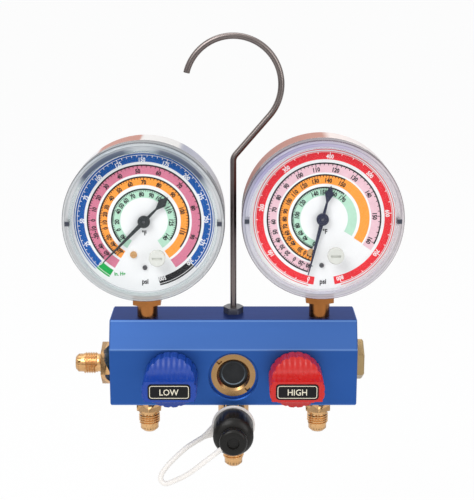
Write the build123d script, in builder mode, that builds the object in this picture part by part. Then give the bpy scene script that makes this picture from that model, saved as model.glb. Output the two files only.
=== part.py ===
"""Two-valve refrigerant manifold with a low and a high pressure gauge.

Frame: X to the right, Y away from the front, Z up. The origin is the inside top of the hanging hook,
the point that the whole set hangs from. Lengths are in millimetres.
"""
import os
from math import asin, cos, degrees, radians, sin, sqrt

from build123d import *

os.makedirs("parts", exist_ok=True)

# ---------------------------------------------------------------- driving dimensions

# manifold block: an extruded bar, its upper front face sloping out to an upright lower face
block_length = 127.0
block_top_depth = 23.2
slope_out = 6.4
slope_height = 14.2
face_height = 30.0
block_edge_radius = 0.6

# hanging hook
hook_reach = 141.0          # block top to the inside top of the hook
hook_set_back = 13.1        # hook axis behind the front edge of the block top
hook_wire = 3.2
hook_radius = 24.0          # wire centre line of the round part
hook_bend_height = 81.8     # block top to the bend
hook_bend_radius = 5.0
hook_tip_angle = 166.0      # where the round part ends, from the right, over the top
hook_thread_depth = 10.0
hook_nut_flats = 9.5
hook_nut_height = 3.2

# gauges
gauge_pitch = 88.9          # distance between the two gauge stems
stem_set_back = 7.5         # stem axis behind the front edge of the block top
gauge_height = 52.6         # block top to the dial centre
high_gauge_lift = 1.2       # the right taper thread is turned in a little less
dial_to_stem = 11.0         # dial face in front of the stem axis
case_radius = 40.2
case_depth = 23.0           # dial face to the back of the case
case_wall = 2.4
case_rim_radius = 38.4      # stepped front end that the lens fits over
case_rim_length = 4.9
case_seat = 2.5             # step behind the dial face where the lens skirt stops
ledge_width = 2.0
lens_radius = 40.4
lens_front = 6.9            # lens front in front of the dial face
lens_thickness = 2.0
lens_edge_radius = 2.2
dial_radius = 36.6
dial_thickness = 0.6
plug_diameter = 8.3
plug_place = (6.6, -17.7)
calibration_place = (-5.6, -17.3)
dial_screw_drop = 24.0
tab_width = 2.6
socket_hex_flats = 14.3
socket_hex_height = 5.4
socket_gap = 0.4            # hex top below the case
socket_collar_diameter = 15.0
socket_thread_top = 10.6
socket_thread_end = 10.0
socket_thread_depth = 8.0
socket_bore = 3.0
socket_half_width = 6.0
socket_half_depth = 5.0
relief_rise = 24.0          # pressure relief plug above the centre of the case back
relief_radius = 6.0
relief_flange = 1.4

# gauge movement
tooth_module = 0.4
pinion_teeth = 9
sector_wheel_teeth = 81     # teeth of the whole wheel that the sector is cut from
sector_cut_teeth = 13
sector_first_tooth = -2
tooth_share = 0.40          # tooth thickness as a share of the tooth pitch
arbor_diameter = 1.2
sector_arbor_diameter = 1.6
plate_thickness = 1.0
front_plate_depth = 2.6     # behind the dial face
back_plate_depth = 9.1
plate_half_width = 12.5
plate_top = 9.0
plate_bottom = -24.0
sector_depth = 5.6
sector_thickness = 1.2
tail_length = 6.0
tail_angle = -20.0
link_depth = 7.1
link_thickness = 0.8
link_width = 2.2
pillar_diameter = 3.0
tube_radius = 27.5          # centre line of the coiled tube
tube_thickness = 2.2
tube_width = 8.0
tube_front = 7.0            # tube edge behind the dial face
tube_root_angle = 262.0      # from the right, counter-clockwise
tube_end_angle = -12.0
tube_wall = 0.5
tip_radius = 24.6
tip_angle = -16.0
needle_reach = 29.5
tail_reach = 17.5
pointer_hub_radius = 3.1
pointer_lift = 1.6          # pointer underside in front of the dial face
pointer_thickness = 0.5
low_zero_angle = 225.4      # pointer at zero, from the right, counter-clockwise
high_zero_angle = 256.7

# valves
valve_pitch = 63.5
valve_drop = 28.4           # below the block top
knob_radius = 13.7
knob_gap = 0.8              # behind the knob
knob_rim_length = 8.0
knob_length = 21.8
grip_half_height = 5.2
flute_count = 20
flute_radius = 1.0
knob_recess_radius = 9.2
knob_recess_depth = 5.0
label_length = 21.0
label_height = 8.0
label_thickness = 0.6
label_recess = 0.3
label_corner = 1.8
valve_stem_diameter = 6.0
stem_thread_diameter = 4.0
stem_thread_reach = 14.2    # behind the front face
collar_diameter = 8.0
collar_thickness = 1.0
bonnet_flats = 14.0
bonnet_head = 3.5
bonnet_thread_diameter = 12.0
bonnet_length = 7.8
collar_bore_depth = 1.4
piston_diameter = 9.0
piston_length = 7.5
piston_nose = 18.7          # closed piston nose behind the front face
piston_bore_end = 19.0
seat_bore = 5.0
piston_travel = 3.0

# sight glass
sight_drop = 28.8
sight_recess_diameter = 24.8
sight_recess_depth = 2.4
sight_ring_diameter = 22.8
sight_ring_bore = 14.8
sight_ring_thickness = 3.2
sight_glass_diameter = 20.0
sight_glass_thickness = 4.0
sight_seal_thickness = 1.2
sight_chamber_diameter = 13.0
sight_chamber_depth = 23.9

# ports
thread_radius = 5.55        # 7/16-20 flare thread
flare_neck_radius = 4.7
flare_nose_radius = 4.75
flare_tip_radius = 3.4
flare_bore = 4.8
pipe_thread_radius = 5.1
pipe_thread_depth = 8.0
port_hex_flats = 12.7
port_hex_height = 7.2
port_neck = 1.6
port_thread = 6.3
side_hex_flats = 19.05
side_hex_height = 5.3
side_hex_turn = 15.0
side_neck = 2.4
side_thread = 7.4
nose_length = 2.6
side_port_drop = 26.9
side_port_set_back = 10.2
end_plug_drop = 24.9
end_plug_height = 4.4
gallery_diameter = 4.0
gallery_set_back = 17.5
passage_diameter = 4.0

# centre tee, cap and tether
tee_axis_drop = 11.6        # forward port below the block underside
tee_body_radius = 8.0
tee_body_length = 25.3
tee_arm_radius = 6.6
tee_arm_end = 1.2           # arm shoulder behind the front face
tee_port_thread = 8.0
tee_thread_depth = 5.0      # short, to stay below the sight glass
cap_radius = 10.3
cap_front = 23.1            # cap crown in front of the front face
cap_back = 0.8
cap_skirt = 13.2
cap_groove_radius = 4.6
cap_groove_width = 2.6
cap_crown_radius = 6.2
cap_crown_recess = 3.1
tether_ring_radius = 11.3
tether_thickness = 1.5
tether_width = 3.0

# clearances
running_fit = 0.05
part_gap = 0.3

# ---------------------------------------------------------------- derived places

block_top = -hook_reach
block_bottom = block_top - slope_height - face_height
front_edge = -hook_set_back
front_face = front_edge - slope_out
block_back = front_edge + block_top_depth
port_y = front_edge + stem_set_back
dial_y = port_y - dial_to_stem
dial_z = block_top + gauge_height
valve_z = block_top - valve_drop
sight_z = block_top - sight_drop
gallery_y = front_edge + gallery_set_back
side_port_y = front_edge + side_port_set_back
side_port_z = block_top - side_port_drop
end_plug_z = block_top - end_plug_drop
tee_z = block_bottom - tee_axis_drop
sides = {"low": -1, "high": 1}


# ---------------------------------------------------------------- helpers

def facing(x, y, z):
    """A plane that faces the front: its own x to the right, its own y up."""
    return Plane(origin=(x, y, z), x_dir=(1, 0, 0), z_dir=(0, -1, 0))


def along(point, direction):
    """A plane through an axis: its own x runs along the direction, its own y is the radius."""
    flank = (0, 0, 1) if abs(direction[1]) + abs(direction[0]) > 0.5 else (0, 1, 0)
    return Plane(origin=point, x_dir=direction, z_dir=flank)


def radial(point, angle):
    """A plane through a gauge axis: its own x runs to the back, its own y out along the angle."""
    return Plane(origin=point, x_dir=(0, 1, 0), z_dir=(sin(radians(angle)), 0, -cos(radians(angle))))


def outline(points):
    """A closed face through points given in the sketch plane, inside a sketch."""
    Polygon(*points, align=None)


def flare_points(start, neck, thread, root):
    """Half section of a flare port from its shoulder to its tip."""
    lead = thread_radius - flare_neck_radius
    thread_start = start + neck
    thread_end = thread_start + thread
    slope = flare_nose_radius - flare_tip_radius
    tip = thread_end + nose_length + slope
    return [
        (root, 0),
        (root, flare_neck_radius),
        (thread_start, flare_neck_radius),
        (thread_start + lead / 2, thread_radius),
        (thread_end - lead, thread_radius),
        (thread_end, flare_nose_radius),
        (thread_end + nose_length, flare_nose_radius),
        (tip, flare_tip_radius),
        (tip, 0),
    ]


def save(part, name):
    """Label a finished piece and write its STEP file."""
    part.label = name
    export_step(part, f"parts/{name}.step")


# ---------------------------------------------------------------- manifold block

with BuildPart() as block:
    with BuildSketch(Plane.YZ.offset(-block_length / 2)):
        outline([
            (front_edge, block_top),
            (block_back, block_top),
            (block_back, block_bottom),
            (front_face, block_bottom),
            (front_face, block_top - slope_height),
        ])
    extrude(amount=block_length)
    end_edges = block.edges().filter_by(Axis.X, reverse=True)
    chamfer(end_edges, length=block_edge_radius)
    for side in sides.values():
        stem_x = side * gauge_pitch / 2
        valve_x = side * valve_pitch / 2
        # gauge thread above, port thread below, one passage joining them
        with BuildSketch(Plane.XY.offset(block_top)):
            with Locations((stem_x, port_y)):
                Circle(socket_thread_top / 2 + running_fit)
        extrude(amount=-socket_thread_depth - part_gap, mode=Mode.SUBTRACT)
        with BuildSketch(Plane.XY.offset(block_bottom)):
            with Locations((stem_x, port_y)):
                Circle(pipe_thread_radius + running_fit)
        extrude(amount=pipe_thread_depth + part_gap, mode=Mode.SUBTRACT)
        with BuildSketch(Plane.XY.offset(block_bottom)):
            with Locations((stem_x, port_y)):
                Circle(passage_diameter / 2)
        extrude(amount=block_top - block_bottom, mode=Mode.SUBTRACT)
        # valve bore: bonnet thread, piston bore, seat hole
        for diameter, depth in (
            (bonnet_thread_diameter + 2 * running_fit, bonnet_length + part_gap),
            (piston_diameter + 2 * running_fit, piston_bore_end),
            (seat_bore, gallery_y - front_face + gallery_diameter / 2),
        ):
            with BuildSketch(facing(valve_x, front_face, valve_z)):
                Circle(diameter / 2)
            extrude(amount=-depth, mode=Mode.SUBTRACT)
    # cross drillings from the two ends into the valve bores
    for side, cross_z in ((-1, side_port_z), (1, end_plug_z)):
        for radius, depth in (
            (pipe_thread_radius + running_fit, pipe_thread_depth + part_gap),
            (passage_diameter / 2, block_length / 2 - valve_pitch / 2),
        ):
            with BuildSketch(Plane.YZ.offset(side * block_length / 2)):
                with Locations((side_port_y, cross_z)):
                    Circle(radius)
            extrude(amount=-side * depth, mode=Mode.SUBTRACT)
    # gallery between the two seats, past the sight glass chamber
    with BuildSketch(Plane.YZ.offset(-valve_pitch / 2)):
        with Locations((gallery_y, valve_z)):
            Circle(gallery_diameter / 2)
    extrude(amount=valve_pitch, mode=Mode.SUBTRACT)
    sight_bore_depth = sight_recess_depth + sight_ring_thickness
    sight_pocket_depth = sight_bore_depth + sight_glass_thickness + sight_seal_thickness
    for diameter, depth in (
        (sight_recess_diameter, sight_recess_depth),
        (sight_ring_diameter + 2 * running_fit, sight_bore_depth),
        (sight_glass_diameter + 2 * running_fit, sight_pocket_depth),
        (sight_chamber_diameter, sight_chamber_depth),
    ):
        with BuildSketch(facing(0, front_face, sight_z)):
            Circle(diameter / 2)
        extrude(amount=-depth, mode=Mode.SUBTRACT)
    recess_edge = block.edges().filter_by(GeomType.CIRCLE).filter_by(
        lambda e: abs(e.radius - sight_recess_diameter / 2) < 0.01
    ).sort_by(Axis.Y)[0]
    chamfer(recess_edge, length=0.5)
    # centre port thread and its passage up to the chamber
    with BuildSketch(Plane.XY.offset(block_bottom)):
        with Locations((0, port_y)):
            Circle(pipe_thread_radius + running_fit)
    extrude(amount=tee_thread_depth + 0.2, mode=Mode.SUBTRACT)
    with BuildSketch(Plane.XY.offset(block_bottom)):
        with Locations((0, port_y)):
            Circle(passage_diameter / 2)
    extrude(amount=sight_z - block_bottom, mode=Mode.SUBTRACT)
    # hook thread
    with BuildSketch(Plane.XY.offset(block_top)):
        Circle(hook_wire / 2 + running_fit)
    extrude(amount=-hook_thread_depth - part_gap, mode=Mode.SUBTRACT)
save(block.part, "manifold_block")

# ---------------------------------------------------------------- hook and nut

hook_centre_z = -hook_radius + hook_wire / 2
bend_z = block_top + hook_bend_height
bend_drop = hook_centre_z - bend_z
tangent_length = sqrt(bend_drop**2 - hook_radius**2)
lean = asin(hook_radius / bend_drop)
tangent_x = tangent_length * sin(lean)
tangent_z = bend_z + tangent_length * cos(lean)
start_angle = -degrees(lean)

with BuildPart() as hook:
    with BuildLine(Plane.XZ) as hook_line:
        FilletPolyline(
            (0, block_top - hook_thread_depth),
            (0, bend_z),
            (tangent_x, tangent_z),
            radius=hook_bend_radius,
        )
        CenterArc((0, hook_centre_z), hook_radius, start_angle, hook_tip_angle - start_angle)
    with BuildSketch(Plane.XY.offset(block_top - hook_thread_depth)):
        Circle(hook_wire / 2)
    sweep()
save(hook.part, "hanging_hook")

with BuildPart() as hook_nut:
    with BuildSketch(Plane.XY.offset(block_top)):
        RegularPolygon(hook_nut_flats / 2, 6, major_radius=False, rotation=0)
        Circle(hook_wire / 2 + running_fit, mode=Mode.SUBTRACT)
    extrude(amount=hook_nut_height)
    with BuildSketch(Plane.XY.offset(block_top)):
        Circle(hook_nut_flats / 2 * 1.09)
    extrude(amount=hook_nut_height, mode=Mode.INTERSECT)
save(hook_nut.part, "hook_nut")

# ---------------------------------------------------------------- flare ports

for name, side in sides.items():
    port_x = side * gauge_pitch / 2
    port_down = along((port_x, port_y, block_bottom), (0, 0, -1))
    with BuildPart() as port:
        with BuildSketch(Plane.XY.offset(block_bottom)):
            with Locations((port_x, port_y)):
                RegularPolygon(port_hex_flats / 2, 6, major_radius=False, rotation=30)
        extrude(amount=-port_hex_height)
        with BuildSketch(port_down):
            outline(flare_points(port_hex_height, port_neck, port_thread, 0))
        revolve(axis=Axis((port_x, port_y, 0), (0, 0, 1)))
        with BuildSketch(Plane.XY.offset(block_bottom)):
            with Locations((port_x, port_y)):
                Circle(pipe_thread_radius)
        extrude(amount=pipe_thread_depth)
        with BuildSketch(Plane.XY.offset(block_bottom + pipe_thread_depth)):
            with Locations((port_x, port_y)):
                Circle(flare_bore / 2)
        extrude(amount=-2 * hook_reach, mode=Mode.SUBTRACT)
    save(port.part, f"{name}_port_fitting")

with BuildPart() as side_port:
    with BuildSketch(Plane.YZ.offset(-block_length / 2)):
        with Locations((side_port_y, side_port_z)):
            RegularPolygon(side_hex_flats / 2, 6, major_radius=False, rotation=side_hex_turn)
    extrude(amount=-side_hex_height)
    with BuildSketch(along((-block_length / 2, side_port_y, side_port_z), (-1, 0, 0))):
        outline(flare_points(side_hex_height, side_neck, side_thread, 0))
    revolve(axis=Axis((0, side_port_y, side_port_z), (1, 0, 0)))
    with BuildSketch(Plane.YZ.offset(-block_length / 2)):
        with Locations((side_port_y, side_port_z)):
            Circle(pipe_thread_radius)
    extrude(amount=pipe_thread_depth)
    with BuildSketch(Plane.YZ.offset(-block_length / 2 + pipe_thread_depth)):
        with Locations((side_port_y, side_port_z)):
            Circle(flare_bore / 2)
    extrude(amount=-block_length, mode=Mode.SUBTRACT)
save(side_port.part, "side_port_fitting")

with BuildPart() as end_plug:
    with BuildSketch(Plane.YZ.offset(block_length / 2)):
        with Locations((side_port_y, end_plug_z)):
            RegularPolygon(side_hex_flats / 2, 6, major_radius=False, rotation=30)
    extrude(amount=end_plug_height)
    with BuildSketch(Plane.YZ.offset(block_length / 2)):
        with Locations((side_port_y, end_plug_z)):
            Circle(pipe_thread_radius)
    extrude(amount=-pipe_thread_depth)
    chamfer(end_plug.faces().sort_by(Axis.X)[-1].edges(), length=0.8)
save(end_plug.part, "end_plug")

# ---------------------------------------------------------------- centre tee, cap and tether

with BuildPart() as tee:
    with BuildSketch(Plane.XY.offset(block_bottom)):
        with Locations((0, port_y)):
            Circle(tee_body_radius)
    extrude(amount=-tee_body_length)
    chamfer(tee.edges().filter_by(GeomType.CIRCLE), length=0.8)
    with BuildSketch(along((0, port_y, block_bottom), (0, 0, -1))):
        outline(flare_points(tee_body_length, port_neck, tee_port_thread, 0))
    revolve(axis=Axis((0, port_y, 0), (0, 0, 1)))
    with BuildSketch(facing(0, port_y, tee_z)):
        Circle(tee_arm_radius)
    extrude(amount=port_y - front_face - tee_arm_end)
    with BuildSketch(along((0, front_face + tee_arm_end, tee_z), (0, -1, 0))):
        outline(flare_points(0, 2.0, tee_port_thread - 1.0, -1.0))
    revolve(axis=Axis((0, 0, tee_z), (0, 1, 0)))
    with BuildSketch(Plane.XY.offset(block_bottom)):
        with Locations((0, port_y)):
            Circle(pipe_thread_radius)
    extrude(amount=tee_thread_depth)
    with BuildSketch(Plane.XY.offset(block_bottom + tee_thread_depth)):
        with Locations((0, port_y)):
            Circle(flare_bore / 2)
    extrude(amount=-2 * hook_reach, mode=Mode.SUBTRACT)
    with BuildSketch(facing(0, port_y, tee_z)):
        Circle(flare_bore / 2)
    extrude(amount=4 * tee_body_radius, mode=Mode.SUBTRACT)
save(tee.part, "centre_tee")

cap_root = front_face - cap_back
cap_length = cap_front - cap_back
cap_cavity = 12.5
gasket_thickness = 1.2
groove_start = cap_length - 3.6 - cap_groove_width

with BuildPart() as cap:
    with BuildSketch(along((0, cap_root, tee_z), (0, -1, 0))):
        with BuildLine():
            Polyline(
                (cap_cavity, 0),
                (cap_cavity, thread_radius + 0.1),
                (0, thread_radius + 0.1),
                (0, cap_radius - 0.4),
                (0.4, cap_radius),
                (cap_skirt, cap_radius),
            )
            ThreePointArc(
                (cap_skirt, cap_radius),
                (cap_skirt + 1.9, cap_radius - 1.8),
                (groove_start, cap_groove_radius + 1.0),
            )
            Polyline(
                (groove_start, cap_groove_radius + 1.0),
                (groove_start, cap_groove_radius),
                (groove_start + cap_groove_width, cap_groove_radius),
                (groove_start + cap_groove_width, cap_crown_radius),
                (cap_length - 1.6, cap_crown_radius),
            )
            ThreePointArc(
                (cap_length - 1.6, cap_crown_radius),
                (cap_length - 0.5, cap_crown_radius - 0.5),
                (cap_length, cap_crown_radius - 1.6),
            )
            Polyline(
                (cap_length, cap_crown_radius - 1.6),
                (cap_length, cap_crown_recess),
                (cap_length - 1.3, cap_crown_recess - 0.3),
                (cap_length - 1.3, 0),
                (cap_cavity, 0),
            )
        make_face()
    revolve(axis=Axis((0, 0, tee_z), (0, 1, 0)))
save(cap.part, "port_cap")

with BuildPart() as gasket:
    with BuildSketch(facing(0, cap_root - cap_cavity, tee_z)):
        Circle(thread_radius)
    extrude(amount=-gasket_thickness)
save(gasket.part, "cap_gasket")

# way of the strap from the ring on the port neck to the eye in the cap groove,
# measured from the port axis at the face of the block
strap_way = [
    (-11.6, 0.2, -1.6),
    (-14.6, 0.0, -5.4),
    (-19.9, -1.0, -8.5),
    (-24.1, -2.2, -10.7),
    (-29.8, -4.0, -15.5),
    (-33.9, -5.8, -19.2),
    (-37.3, -7.8, -23.3),
    (-37.9, -9.2, -26.0),
    (-35.3, -10.6, -27.9),
    (-31.6, -11.8, -25.9),
    (-25.5, -13.6, -22.3),
    (-20.6, -15.0, -18.3),
    (-16.2, -16.4, -14.0),
    (-11.3, -17.4, -9.6),
    (-7.6, -18.1, -6.3),
    (-4.7, -18.2, -3.8),
]
strap_points = [(x, front_face + y, tee_z + z) for x, y, z in strap_way]
eye_y = cap_root - groove_start - cap_groove_width / 2

with BuildPart() as tether:
    with BuildSketch(facing(0, front_face + tee_arm_end - 0.2, tee_z)):
        Circle(tether_ring_radius)
        Circle(thread_radius + part_gap, mode=Mode.SUBTRACT)
    extrude(amount=tether_thickness)
    # web that widens from the strap into the ring
    with BuildSketch(facing(0, front_face + tee_arm_end - 0.2, tee_z)):
        with BuildLine():
            Polyline((-10.9, 1.5), (-12.1, -1.8), (-13.9, -3.6), (-15.6, -4.9), (-14.5, -7.2),
                     (-12.4, -6.6), (-10.2, -6.2), (-8.4, -7.2), (-7.6, -4.0), (-10.9, 1.5))
        make_face()
    extrude(amount=tether_thickness)
    with BuildLine() as strap_line:
        Spline(*strap_points)
    with BuildSketch(Plane(origin=strap_points[0], z_dir=strap_line.line % 0)):
        Circle(tether_width / 2 - 0.1)
    sweep(path=strap_line.line)
    with BuildSketch(facing(0, eye_y + 0.9, tee_z)):
        Circle(cap_groove_radius + 2.2)
    extrude(amount=1.8)
    # free way through the ring and the eye for the port and the cap
    with BuildSketch(facing(0, front_face + tee_arm_end + 1.0, tee_z)):
        Circle(thread_radius + part_gap)
    extrude(amount=8.0, mode=Mode.SUBTRACT)
    with BuildSketch(facing(0, eye_y + 5.0, tee_z)):
        Circle(cap_groove_radius + part_gap)
    extrude(amount=9.0, mode=Mode.SUBTRACT)
    for start, reach in ((eye_y + 1.0, -6.0), (eye_y - 1.0, 6.0)):
        with BuildSketch(facing(0, start, tee_z)):
            Circle(cap_crown_radius + part_gap)
        extrude(amount=reach, mode=Mode.SUBTRACT)
save(tether.part, "cap_tether")

# ---------------------------------------------------------------- sight glass

sight_floor = front_face + sight_recess_depth
with BuildPart() as sight_ring:
    with BuildSketch(facing(0, sight_floor, sight_z)):
        Circle(sight_ring_diameter / 2)
        Circle(sight_ring_bore / 2, mode=Mode.SUBTRACT)
    extrude(amount=-sight_ring_thickness)
    front_rim = sight_ring.faces().sort_by(Axis.Y)[0].edges().sort_by(SortBy.RADIUS)
    chamfer(front_rim[0], length=1.2)
    # two slots for the spanner
    with BuildSketch(facing(0, sight_floor, sight_z)):
        with Locations(Rotation(0, 0, 135)):
            with Locations((-sight_ring_diameter / 2, 0), (sight_ring_diameter / 2, 0)):
                Rectangle(4.4, 2.4)
    extrude(amount=-1.4, mode=Mode.SUBTRACT)
save(sight_ring.part, "sight_glass_ring")

with BuildPart() as sight_glass:
    with BuildSketch(facing(0, sight_floor + sight_ring_thickness, sight_z)):
        Circle(sight_glass_diameter / 2)
    extrude(amount=-sight_glass_thickness)
save(sight_glass.part, "sight_glass")

with BuildPart() as sight_seal:
    with BuildSketch(facing(0, sight_floor + sight_ring_thickness + sight_glass_thickness, sight_z)):
        Circle(sight_glass_diameter / 2)
        Circle(sight_chamber_diameter / 2 + part_gap, mode=Mode.SUBTRACT)
    extrude(amount=-sight_seal_thickness)
save(sight_seal.part, "sight_glass_seal")

# ---------------------------------------------------------------- valves

stem_seal_radius = 0.8
stem_seal_place = 2.6
piston_seal_radius = 0.85
piston_back = piston_nose - piston_length
screw_head_radius = 2.75
screw_head_height = 2.0
screw_radius = 1.5
screw_length = 10.0
stem_front = -(knob_gap + 12.2)
knob_back = front_face - knob_gap
knob_front = knob_back - knob_length
label_floor = knob_front + label_recess
screw_seat = knob_front + 3.6

seals = []
for name, side in sides.items():
    valve_x = side * valve_pitch / 2

    with BuildPart() as knob:
        with BuildSketch(facing(valve_x, knob_back, valve_z)):
            Circle(knob_radius)
        extrude(amount=knob_length)
        chamfer(knob.edges().filter_by(GeomType.CIRCLE), length=0.5)
        # shallow flutes around the rim
        with BuildSketch(facing(valve_x, knob_back, valve_z)):
            with PolarLocations(knob_radius + 0.45, flute_count):
                Circle(flute_radius)
        extrude(amount=knob_length, mode=Mode.SUBTRACT)
        # hollowed sides that leave a flat grip
        for upright in (1, -1):
            scoop_x = valve_x - 1.2 * knob_radius
            with BuildSketch(Plane(origin=(scoop_x, knob_back, valve_z), x_dir=(0, -1, 0), z_dir=(upright, 0, 0))):
                with BuildLine():
                    Polyline(
                        (knob_length + 1.0, grip_half_height),
                        (knob_length + 1.0, 1.2 * knob_radius),
                        (knob_rim_length - 0.9, 1.2 * knob_radius),
                        (knob_rim_length - 0.9, knob_radius),
                        (knob_rim_length, knob_radius),
                    )
                    ThreePointArc(
                        (knob_rim_length, knob_radius),
                        (knob_rim_length + 4.9, grip_half_height + 2.2),
                        (knob_length - 3.0, grip_half_height),
                    )
                    Line((knob_length - 3.0, grip_half_height), (knob_length + 1.0, grip_half_height))
                make_face()
            extrude(amount=upright * 2.4 * knob_radius, mode=Mode.SUBTRACT)
        # hollow behind for the bonnet, hole for the stem, screw seat and label seat in front
        for start, radius, reach in (
            (knob_back, knob_recess_radius, knob_recess_depth),
            (knob_back, valve_stem_diameter / 2 + running_fit, front_face - knob_back - stem_front),
            (knob_back, screw_radius + running_fit, knob_length - 1.0),
        ):
            with BuildSketch(facing(valve_x, start, valve_z)):
                Circle(radius)
            extrude(amount=reach, mode=Mode.SUBTRACT)
        with BuildSketch(facing(valve_x, screw_seat, valve_z)):
            Circle(screw_head_radius + running_fit)
        extrude(amount=knob_length, mode=Mode.SUBTRACT)
        with BuildSketch(facing(valve_x, label_floor, valve_z)):
            RectangleRounded(label_length + 0.2, label_height + 0.2, label_corner)
        extrude(amount=2.0, mode=Mode.SUBTRACT)
    save(knob.part, f"{name}_valve_knob")

    with BuildPart() as label:
        with BuildSketch(facing(valve_x, label_floor, valve_z)):
            RectangleRounded(label_length, label_height, label_corner)
        extrude(amount=label_thickness)
    save(label.part, f"{name}_label_plate")

    with BuildPart() as stem:
        with BuildSketch(along((valve_x, front_face, valve_z), (0, 1, 0))):
            outline([
                (stem_front, 0),
                (stem_front, valve_stem_diameter / 2 - 0.4),
                (stem_front + 0.4, valve_stem_diameter / 2),
                (bonnet_length - collar_bore_depth + 0.2, valve_stem_diameter / 2),
                (bonnet_length - collar_bore_depth + 0.2, collar_diameter / 2),
                (bonnet_length - collar_bore_depth + 0.2 + collar_thickness, collar_diameter / 2),
                (bonnet_length - collar_bore_depth + 0.2 + collar_thickness, stem_thread_diameter / 2),
                (stem_thread_reach, stem_thread_diameter / 2),
                (stem_thread_reach, 0),
            ])
        revolve(axis=Axis((valve_x, 0, valve_z), (0, 1, 0)))
        with BuildSketch(facing(valve_x, front_face + stem_front, valve_z)):
            Circle(screw_radius + running_fit)
        extrude(amount=-9.0, mode=Mode.SUBTRACT)
    save(stem.part, f"{name}_valve_stem")

    with BuildPart() as knob_screw:
        with BuildSketch(facing(valve_x, screw_seat, valve_z)):
            Circle(screw_head_radius)
        extrude(amount=screw_head_height)
        with BuildSketch(facing(valve_x, screw_seat - screw_head_height, valve_z)):
            Rectangle(2 * screw_head_radius, 0.8)
        extrude(amount=-1.0, mode=Mode.SUBTRACT)
        with BuildSketch(facing(valve_x, screw_seat, valve_z)):
            Circle(screw_radius)
        extrude(amount=-screw_length)
    save(knob_screw.part, f"{name}_knob_screw")

    with BuildPart() as bonnet:
        with BuildSketch(facing(valve_x, front_face, valve_z)):
            RegularPolygon(bonnet_flats / 2, 6, major_radius=False)
        extrude(amount=bonnet_head)
        with BuildSketch(facing(valve_x, front_face, valve_z)):
            Circle(bonnet_thread_diameter / 2)
        extrude(amount=-bonnet_length)
        with BuildSketch(along((valve_x, front_face, valve_z), (0, 1, 0))):
            seal_half = stem_seal_radius + 0.1
            seal_root = valve_stem_diameter / 2 + 2 * stem_seal_radius + 0.1
            bore = valve_stem_diameter / 2 + running_fit
            outline([
                (-bonnet_head - 1, 0),
                (-bonnet_head - 1, bore),
                (stem_seal_place - seal_half, bore),
                (stem_seal_place - seal_half, seal_root),
                (stem_seal_place + seal_half, seal_root),
                (stem_seal_place + seal_half, bore),
                (bonnet_length - collar_bore_depth, bore),
                (bonnet_length - collar_bore_depth, collar_diameter / 2 + running_fit),
                (bonnet_length + 1, collar_diameter / 2 + running_fit),
                (bonnet_length + 1, 0),
            ])
        revolve(axis=Axis((valve_x, 0, valve_z), (0, 1, 0)), mode=Mode.SUBTRACT)
    save(bonnet.part, f"{name}_valve_bonnet")

    with BuildPart() as stem_seal:
        with BuildSketch(along((valve_x, front_face, valve_z), (0, 1, 0))):
            with Locations((stem_seal_place, valve_stem_diameter / 2 + 0.03 + stem_seal_radius)):
                Circle(stem_seal_radius)
        revolve(axis=Axis((valve_x, 0, valve_z), (0, 1, 0)))
    seals.append(stem_seal.part)

    with BuildPart() as piston:
        groove_half = piston_seal_radius + 0.1
        groove_place = piston_back + piston_length / 2
        groove_root = piston_diameter / 2 - 2 * piston_seal_radius - 0.05
        with BuildSketch(along((valve_x, front_face, valve_z), (0, 1, 0))):
            outline([
                (piston_back, stem_thread_diameter / 2 + running_fit),
                (piston_back, piston_diameter / 2),
                (groove_place - groove_half, piston_diameter / 2),
                (groove_place - groove_half, groove_root),
                (groove_place + groove_half, groove_root),
                (groove_place + groove_half, piston_diameter / 2),
                (piston_nose - 1.2, piston_diameter / 2),
                (piston_nose, piston_diameter / 2 - 1.2),
                (piston_nose, 0),
                (piston_nose - 1.0, 0),
                (piston_nose - 1.0, stem_thread_diameter / 2 + running_fit),
            ])
        revolve(axis=Axis((valve_x, 0, valve_z), (0, 1, 0)))
    save(piston.part, f"{name}_valve_piston")

    with BuildPart() as piston_seal:
        with BuildSketch(along((valve_x, front_face, valve_z), (0, 1, 0))):
            with Locations((groove_place, piston_diameter / 2 + 0.03 - piston_seal_radius)):
                Circle(piston_seal_radius)
        revolve(axis=Axis((valve_x, 0, valve_z), (0, 1, 0)))
    save(piston_seal.part, f"{name}_piston_seal")

save(Compound(children=seals), "stem_seals")

# ---------------------------------------------------------------- gauges

pinion_pitch = tooth_module * pinion_teeth / 2
wheel_pitch = tooth_module * sector_wheel_teeth / 2
sector_drop = pinion_pitch + wheel_pitch
pressure_angle = radians(30)
addendum = 0.75 * tooth_module
dedendum = 1.0 * tooth_module
holder_shelf = -24.4
holder_top = -19.5
holder_back = dial_to_stem + socket_half_depth
tube_place = tube_front + tube_width / 2
sector_pin_reach = 1.3
movement_screw_places = ((-3.6, -21.8), (0, -22.4))
case_screw_places = ((-3.6, -30.0), (3.6, -30.0))
pillar_places = ((-10.3, 6.6), (10.3, 6.6), (-10.0, -18.6), (9.8, -21.6))
small_screw_radius = 1.0
screw_grip = 4.0            # thread in the socket
small_head_radius = 1.8
pin_radius = 0.6


def involute(angle):
    return sin(angle) / cos(angle) - angle


def tooth_profile(teeth, direction):
    """Points of one tooth, from its right root to its left root, about the wheel centre."""
    pitch = tooth_module * teeth / 2
    base = pitch * cos(pressure_angle)
    root = pitch - dedendum
    tip = pitch + addendum
    half = tooth_share * radians(360 / teeth) / 2
    flank = []
    for step in range(4):
        radius = max(base, root + 0.02) + (tip - max(base, root + 0.02)) * step / 3
        roll = involute(pressure_angle) - involute(acos_ratio(base, radius))
        flank.append((radius, half + roll))
    flank.insert(0, (root, flank[0][1]))
    right = [(r, direction - a) for r, a in flank]
    left = [(r, direction + a) for r, a in reversed(flank)]
    return right + left


def acos_ratio(near, far):
    """The angle whose cosine is near / far, zero when they are equal."""
    ratio = min(1.0, near / far)
    return radians(90) - asin(ratio)


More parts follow.
